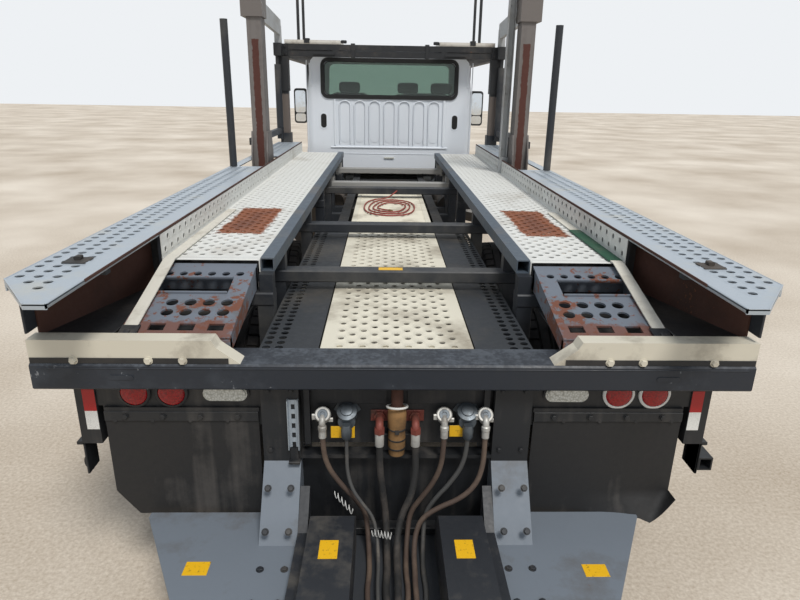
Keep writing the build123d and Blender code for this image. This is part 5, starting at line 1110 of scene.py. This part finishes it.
# Head rack: welded tubes under black paint with rust at the joints, masts rubbed grey where they
# slide, and pale perforated runways with folded ends.
rack_black = weathered(
    "rack_paint_black", "1D1F22", "4C4844", "6A4632", cover=0.42, chips=0.62, patch_mm=240, chip_mm=22,
)
stained(rack_black, "6F655E", (1.1, -1.95, 1.46), (1.3, -1.66, 1.93), ragged=0.04, amount=0.85)
dress(rack_black, "rack_frame")
rack_cream = weathered(
    "rack_runway_pale", "CFCBC2", "9B9286", "7B4F38", chips=0.6, rough=0.6, patch_mm=200, chip_mm=18,
)
rack_start, rack_end = -4.67, -1.8
lanes = [
    at(
        perforated(steps_of(0.568, 0.06, 10), steps_of(-4.658, 0.06, 47), 0.018, thick=0.005, rim=0.005, sides=8),
        2.503,
    ),
    run(
        [
            (0.556, 2.46), (0.562, 2.46), (0.562, 2.498), (0.568, 2.498), (0.568, 2.503), (0.558, 2.503),
            (0.556, 2.501),
        ],
        rack_start, rack_end,
    ),
    run(
        [
            (1.168, 2.498), (1.174, 2.498), (1.174, 2.46), (1.18, 2.46), (1.18, 2.501), (1.178, 2.503),
            (1.168, 2.503),
        ],
        rack_start, rack_end,
    ),
    box(568, 1168, -1838, -1800, 2498, 2503, 1), box(562, 1174, -1806, -1800, 2462, 2498, 1),
    bar((0.562, 1.174), (rack_start, -4.664), (2.462, 2.498), 0.001),
    bar((0.568, 1.168), (rack_start, -4.658), (2.498, 2.503), 0.001),
]
make_piece("rack_runway_plates", both(lanes), rack_cream, "cream_paint", ["rack_runways"], 50, "head_rack")
details = [
    box(395, 440, -1868, -1792, 2322, 2474), box(1150, 1290, -1800, -1776, 2335, 2455),
    box(620, 860, -1800, -1782, 2350, 2372), box(900, 960, -1862, -1790, 2470, 2520),
    swept(
        eased([(1.225, -1.79, 2.33), (1.238, -1.782, 2.05), (1.222, -1.786, 1.8), (1.236, -1.79, 1.62)]), 0.006, 8,
    ),
    turned([(30, 0), (34, 6), (34, 26), (28, 32)], (0.52, -1.826, 2.474), upward, 16),
]
details += bolts([(x, -1.776, z) for x in (1.175, 1.265) for z in (2.36, 2.43)], rearward, 12, 12)
make_piece("rack_fittings", both(details), rack_black, "dark_paint", body="head_rack")

# Cab: pressed steel under white paint, with raised arches, a recessed border and vents in its back
# wall. Window rubbers, strips and lamps are fitted to it, and grime gathers low down.
cab_white = weathered(
    "cab_paint_white", "E3E8EE", "C6C8C8", "9A938A", cover=0.3, chips=0.74, rough=0.3, patch_mm=700, streaks=0.5,
    relief_mm=0.1,
)
dress(cab_white, "cab", "door_left", "door_right", "hood")
rubber_black = weathered(
    "window_rubber_black", "0E0F10", "2E2D2B", "1A1A1A", cover=0.4, chips=0.7, rough=0.6, patch_mm=200,
)


def rounded(half, corner, steps=6):
    """A rounded rectangle about zero, as points that run counter-clockwise."""
    quarters = []
    for quarter, (across, up) in enumerate(((1, 1), (-1, 1), (-1, -1), (1, -1))):
        turn = np.linspace(quarter, quarter + 1, steps + 1) * math.pi / 2
        quarters.append(
            np.stack(
                [
                    across * (half[0] - corner) + corner * np.cos(turn),
                    up * (half[1] - corner) + corner * np.sin(turn),
                ],
                -1,
            )
        )
    return np.concatenate(quarters)


def hoop(centre, half, corner, width, low, high, start=0.0):
    """A flat ring in the x, z plane, between two rounded rectangles and two depths along y."""
    rows = []
    for shrink, depth in ((start, low), (start, high), (start + width, high), (start + width, low)):
        outline = rounded((half[0] - shrink, half[1] - shrink), max(corner - shrink, 0.004))
        rows.append(np.stack([centre[0] + outline[:, 0], 0 * outline[:, 0] + depth, centre[1] + outline[:, 1]], -1))
    return np.concatenate(rows), [face[::-1] for face in grid_faces(4, len(rows[0]), wrap=True, close=True)]


back_y = -2.0
trims = []
for number in range(-3, 4):
    x = number * 0.176
    arch = [(x - 0.063, back_y + 0.006, 1.372), (x - 0.063, back_y + 0.009, 1.6), (x - 0.063, back_y + 0.009, 1.8)]
    bend = np.linspace(math.pi, 0, 9)
    arch += [(x + 0.063 * math.cos(turn), back_y + 0.009, 1.812 + 0.05 * math.sin(turn)) for turn in bend]
    arch += [(x + 0.063, back_y + 0.009, 1.8), (x + 0.063, back_y + 0.009, 1.6), (x + 0.063, back_y + 0.006, 1.372)]
    trims.append(swept(arch, 0.0065, 8))
trims += both([
    bar((0.634, 0.662), (back_y, back_y + 0.009), (1.35, 1.88), 0.004),
    bar((0.905, 0.94), (back_y, back_y + 0.004), (2.02, 2.27), 0.002),
    bar((0.0, 0.7), (back_y, back_y + 0.012), (1.318, 1.336), 0.004),
    bar((0.962, 0.974), (back_y, back_y + 0.005), (1.15, 2.3), 0.002),
    bar((0.0, 0.96), (back_y, back_y + 0.004), (1.25, 1.256), 0.001),
    hoop((0.78, 1.63), (0.044, 0.092), 0.04, 0.01, back_y, back_y + 0.005),
])
make_piece("cab_back_trim", trims, cab_white, "white_paint", crease=50)
rubbers = [
    hoop((0, 2.1075), (0.806, 0.226), 0.09, 0.04, back_y - 0.004, back_y + 0.012),
    hoop((0, 2.1075), (0.766, 0.186), 0.06, 0.008, back_y - 0.006, back_y + 0.006),
]
slats = [run(rounded((0.033, 0.08), 0.032)[::-1] + (0.78, 1.63), back_y, back_y + 0.002)]
for z in np.arange(1.565, 1.692, 0.0155):
    slats.append(bar((0.754, 0.806), (back_y + 0.001, back_y + 0.006), (z, z + 0.007)))
make_piece("window_rubbers", rubbers, rubber_black, "rubber", crease=50)
make_piece("cab_vents", both(slats), rubber_black, "matte_plastic", crease=50)
make_piece("step_lamp", [bar((-0.06, 0.06), (back_y, back_y + 0.014), (1.196, 1.216), 0.004)], clear_lens, "glass")

# Window glass: flat tinted panes, a little dusty. The mirrors are moulded black plastic with
# silvered faces that look back along the truck.
pane_glass, tree, shader, place = new_material("window_glass_tinted")
dust = add(tree, "TexNoise", {"Vector": place, "Scale": 7.0, "Detail": 6.0, "Roughness": 0.7})
film = add(tree, "MapRange", {0: dust, 1: 0.45, 2: 0.8, 3: 0.02, 4: 0.16})
fill(shader, {"Roughness": film, "Base Color": linear("A9BDB2"), "Transmission Weight": 0.95, "IOR": 1.45})
dress(pane_glass, "cab_glass", "door_glass_left", "door_glass_right")
plastic_black = weathered(
    "moulded_plastic_black", "1B1C1D", "4A4845", "2C2C2C", cover=0.35, chips=0.72, rough=0.55, patch_mm=200,
    relief_mm=0.2,
)
dress(plastic_black, "mirror_left", "mirror_right", "controls")
mirror_silver, tree, shader, place = new_material("mirror_silvered_glass")
fill(shader, {"Base Color": linear("D9DEE2"), "Metallic": 1.0})
dust = add(tree, "TexNoise", {"Vector": place, "Scale": 30.0, "Detail": 4.0})
film = add(tree, "MapRange", {0: dust, 1: 0.4, 2: 0.9, 3: 0.03, 4: 0.2})
fill(shader, {"Roughness": film})
for side, name in ((1, "left"), (-1, "right")):
    panes = [
        run(rounded((0.068, half), 0.028) + (side * 1.195, z), -3.1205, -3.118)
        for half, z in ((0.142, 1.82), (0.052, 1.614))
    ]
    make_piece("mirror_faces_" + name, panes, mirror_silver, "glass", crease=50, body="door_" + name)

# Seats: foam under dark woven cloth, crowned between stitched seams. They stand on black boxes.
seat_cloth = weathered(
    "seat_cloth_charcoal", "2C2E31", "3C3D3E", "232426", cover=0.4, chips=0.72, rough=0.95, patch_mm=160, chip_mm=3,
    relief_mm=0.4,
)


def cushion(centre, half, lean, seams):
    """A superellipsoid with square-shouldered sides, pinched by a narrow groove at each seam
    across its width, and leant back about the x axis."""
    rise, turn = np.meshgrid(
        np.linspace(-math.pi / 2, math.pi / 2, 27), np.arange(56) * math.pi / 28, indexing="ij",
    )
    bent = lambda value, power: np.sign(value) * np.abs(value) ** power
    x = bent(np.cos(rise), 0.35) * bent(np.cos(turn), 0.35)
    y = bent(np.cos(rise), 0.5) * bent(np.sin(turn), 0.5)
    z = bent(np.sin(rise), 0.45)
    groove = sum(np.exp(-(((x - seam) / 0.045) ** 2)) for seam in seams) if seams else 0 * x
    points = np.stack(
        [x * half[0], y * half[1] * (1 - 0.1 * groove), z * half[2] * (1 - 0.08 * groove)], -1,
    ).reshape(-1, 3)
    cosine, sine = math.cos(lean), math.sin(lean)
    points = np.stack(
        [points[:, 0], points[:, 1] * cosine + points[:, 2] * sine, points[:, 2] * cosine - points[:, 1] * sine], -1,
    )
    return points + centre, grid_faces(27, 56, wrap=True)


boxes = []
for name, x, half_x in (("left", 0.48, 0.245), ("right", -0.42, 0.395)):
    seams = (-0.5, 0.5) if name == "left" else (-0.7, -0.3, 0.3, 0.7)
    parts = [
        cushion((x, -2.44, 1.455), (half_x, 0.25, 0.075), -0.05, seams),
        cushion((x, -2.225, 1.73), (half_x, 0.065, 0.225), -0.06, seams),
    ]
    for middle in (x,) if name == "left" else (x - 0.2, x + 0.2):
        parts.append(cushion((middle, -2.2, 2.01), (0.125, 0.042, 0.062), -0.06, ()))
        boxes.append(bar((middle - 0.012, middle + 0.012), (-2.208, -2.192), (1.93, 1.96), 0.004))
    make_piece(
            "seat_pads_" + name, parts, seat_cloth, "fabric", ["seats"] if name == "left" else [], crease=70,
        )
    boxes += [bar((x - half_x * 0.8, x + half_x * 0.8), (-2.65, -2.24), (1.066, 1.385), 0.015)]
make_piece("seat_boxes", boxes, plastic_black, "matte_plastic")

# Front: chromed grille and clear head lamps in the hood, a painted steel bumper, amber markers on
# the roof, and wipers at rest on the windscreen. None of it shows in the photograph.
bright_steel = weathered(
    "chrome_plated_steel", "D4D6D8", "A5A39E", "7A736B", cover=0.3, chips=0.72, rough=0.18, metallic=0.95,
    patch_mm=260, chip_mm=12, relief_mm=0.1,
)
bumper_paint = weathered(
    "bumper_paint_grey", "8D9196", "6F6B66", "6B4A36", cover=0.4, chips=0.68, rough=0.4, metallic=0.3, patch_mm=320,
    chip_mm=16,
)
amber_lens = lens("lens_acrylic_amber", "E08A1E", "A8560C", 150, 0.18)
dress(bright_steel, "grille")
dress(clear_lens, "head_lamps")
dress(bumper_paint, "front_bumper")
ambers = []
for x in (-0.72, -0.24, 0.0, 0.24, 0.72):
    ambers.append(turned([(36, -2), (36, 4), (30, 11), (16, 14)], (x, -2.82, 2.39), upward, 24))
make_piece("roof_markers", ambers, amber_lens, "red_lens", crease=50)
lean = np.array((0.0, 0.621, 0.783))
base, out = np.array((0.0, -3.395, 1.765)), np.array((0.0, -0.783, 0.621))
wipers = []
for start_x, end_x in ((0.62, 0.1), (-0.1, -0.62)):
    start = base + (start_x, 0, 0) + out * 0.012 + lean * 0.015
    end = base + (end_x, 0, 0) + out * 0.014 + lean * 0.085
    wipers.append(swept([start, (start + end) / 2, end], 0.006, 8))
    blade = [end + (0.26, 0, 0) + lean * 0.012, end + lean * 0.014, end - (0.24, 0, 0) + lean * 0.016]
    wipers.append(swept(blade, 0.007, 8))
make_piece("wipers", wipers, rubber_black, "matte_plastic")

# Tanks: round aluminium fuel tanks held by two bands each, and painted steel air and oil tanks.
tank_metal = weathered(
    "tank_aluminium_dull", "B4B7BA", "8C8780", "6E6860", cover=0.45, chips=0.7, rough=0.35, metallic=0.8,
    patch_mm=300, chip_mm=14, relief_mm=0.15,
)
dress(tank_metal, "fuel_tanks")
dress(dusty_paint, "side_tanks")
hoop_profile = [(296.5, 0), (299.5, 1), (299.5, 49), (296.5, 50)]
bands = both([turned(hoop_profile, (0.775, y, 0.69), rearward, 48) for y in (-2.96, -2.36)])
make_piece("tank_bands", bands, bright_steel, "chrome", crease=40)

# A red air line lies coiled on the ribbed plank, left there after use. Its brass end is bare.
line_red = weathered("air_line_red", "8E3A30", "6E4A40", "5A2A24", cover=0.4, chips=0.68, patch_mm=90, chip_mm=8)
turn = np.linspace(0.25, 6.9 * math.pi, 110)
shrink = 1 - 0.62 * turn / turn[-1]
coil = np.stack(
    [
        0.245 * shrink * np.sin(turn) + 0.012 * np.sin(3.1 * turn), 0.47 - 0.42 * shrink * np.cos(turn),
        0 * turn + 1.058,
    ],
    -1,
)
path = [(-0.06, -0.004, 1.118), (-0.05, 0.06, 1.12), (0.02, 0.078, 1.066)] + coil[1:].tolist()
red_line = cord("red_air_line", line_red, 0.012, path, 8, 3)
ahead = np.array(path[-1]) - path[-2]
brass = make_piece(
    "air_line_end", [turned([(7, 0), (8.5, 2), (8.5, 20), (6, 24), (6, 36)], path[-1], ahead, 6)], boot_tan,
    "aluminium",
)
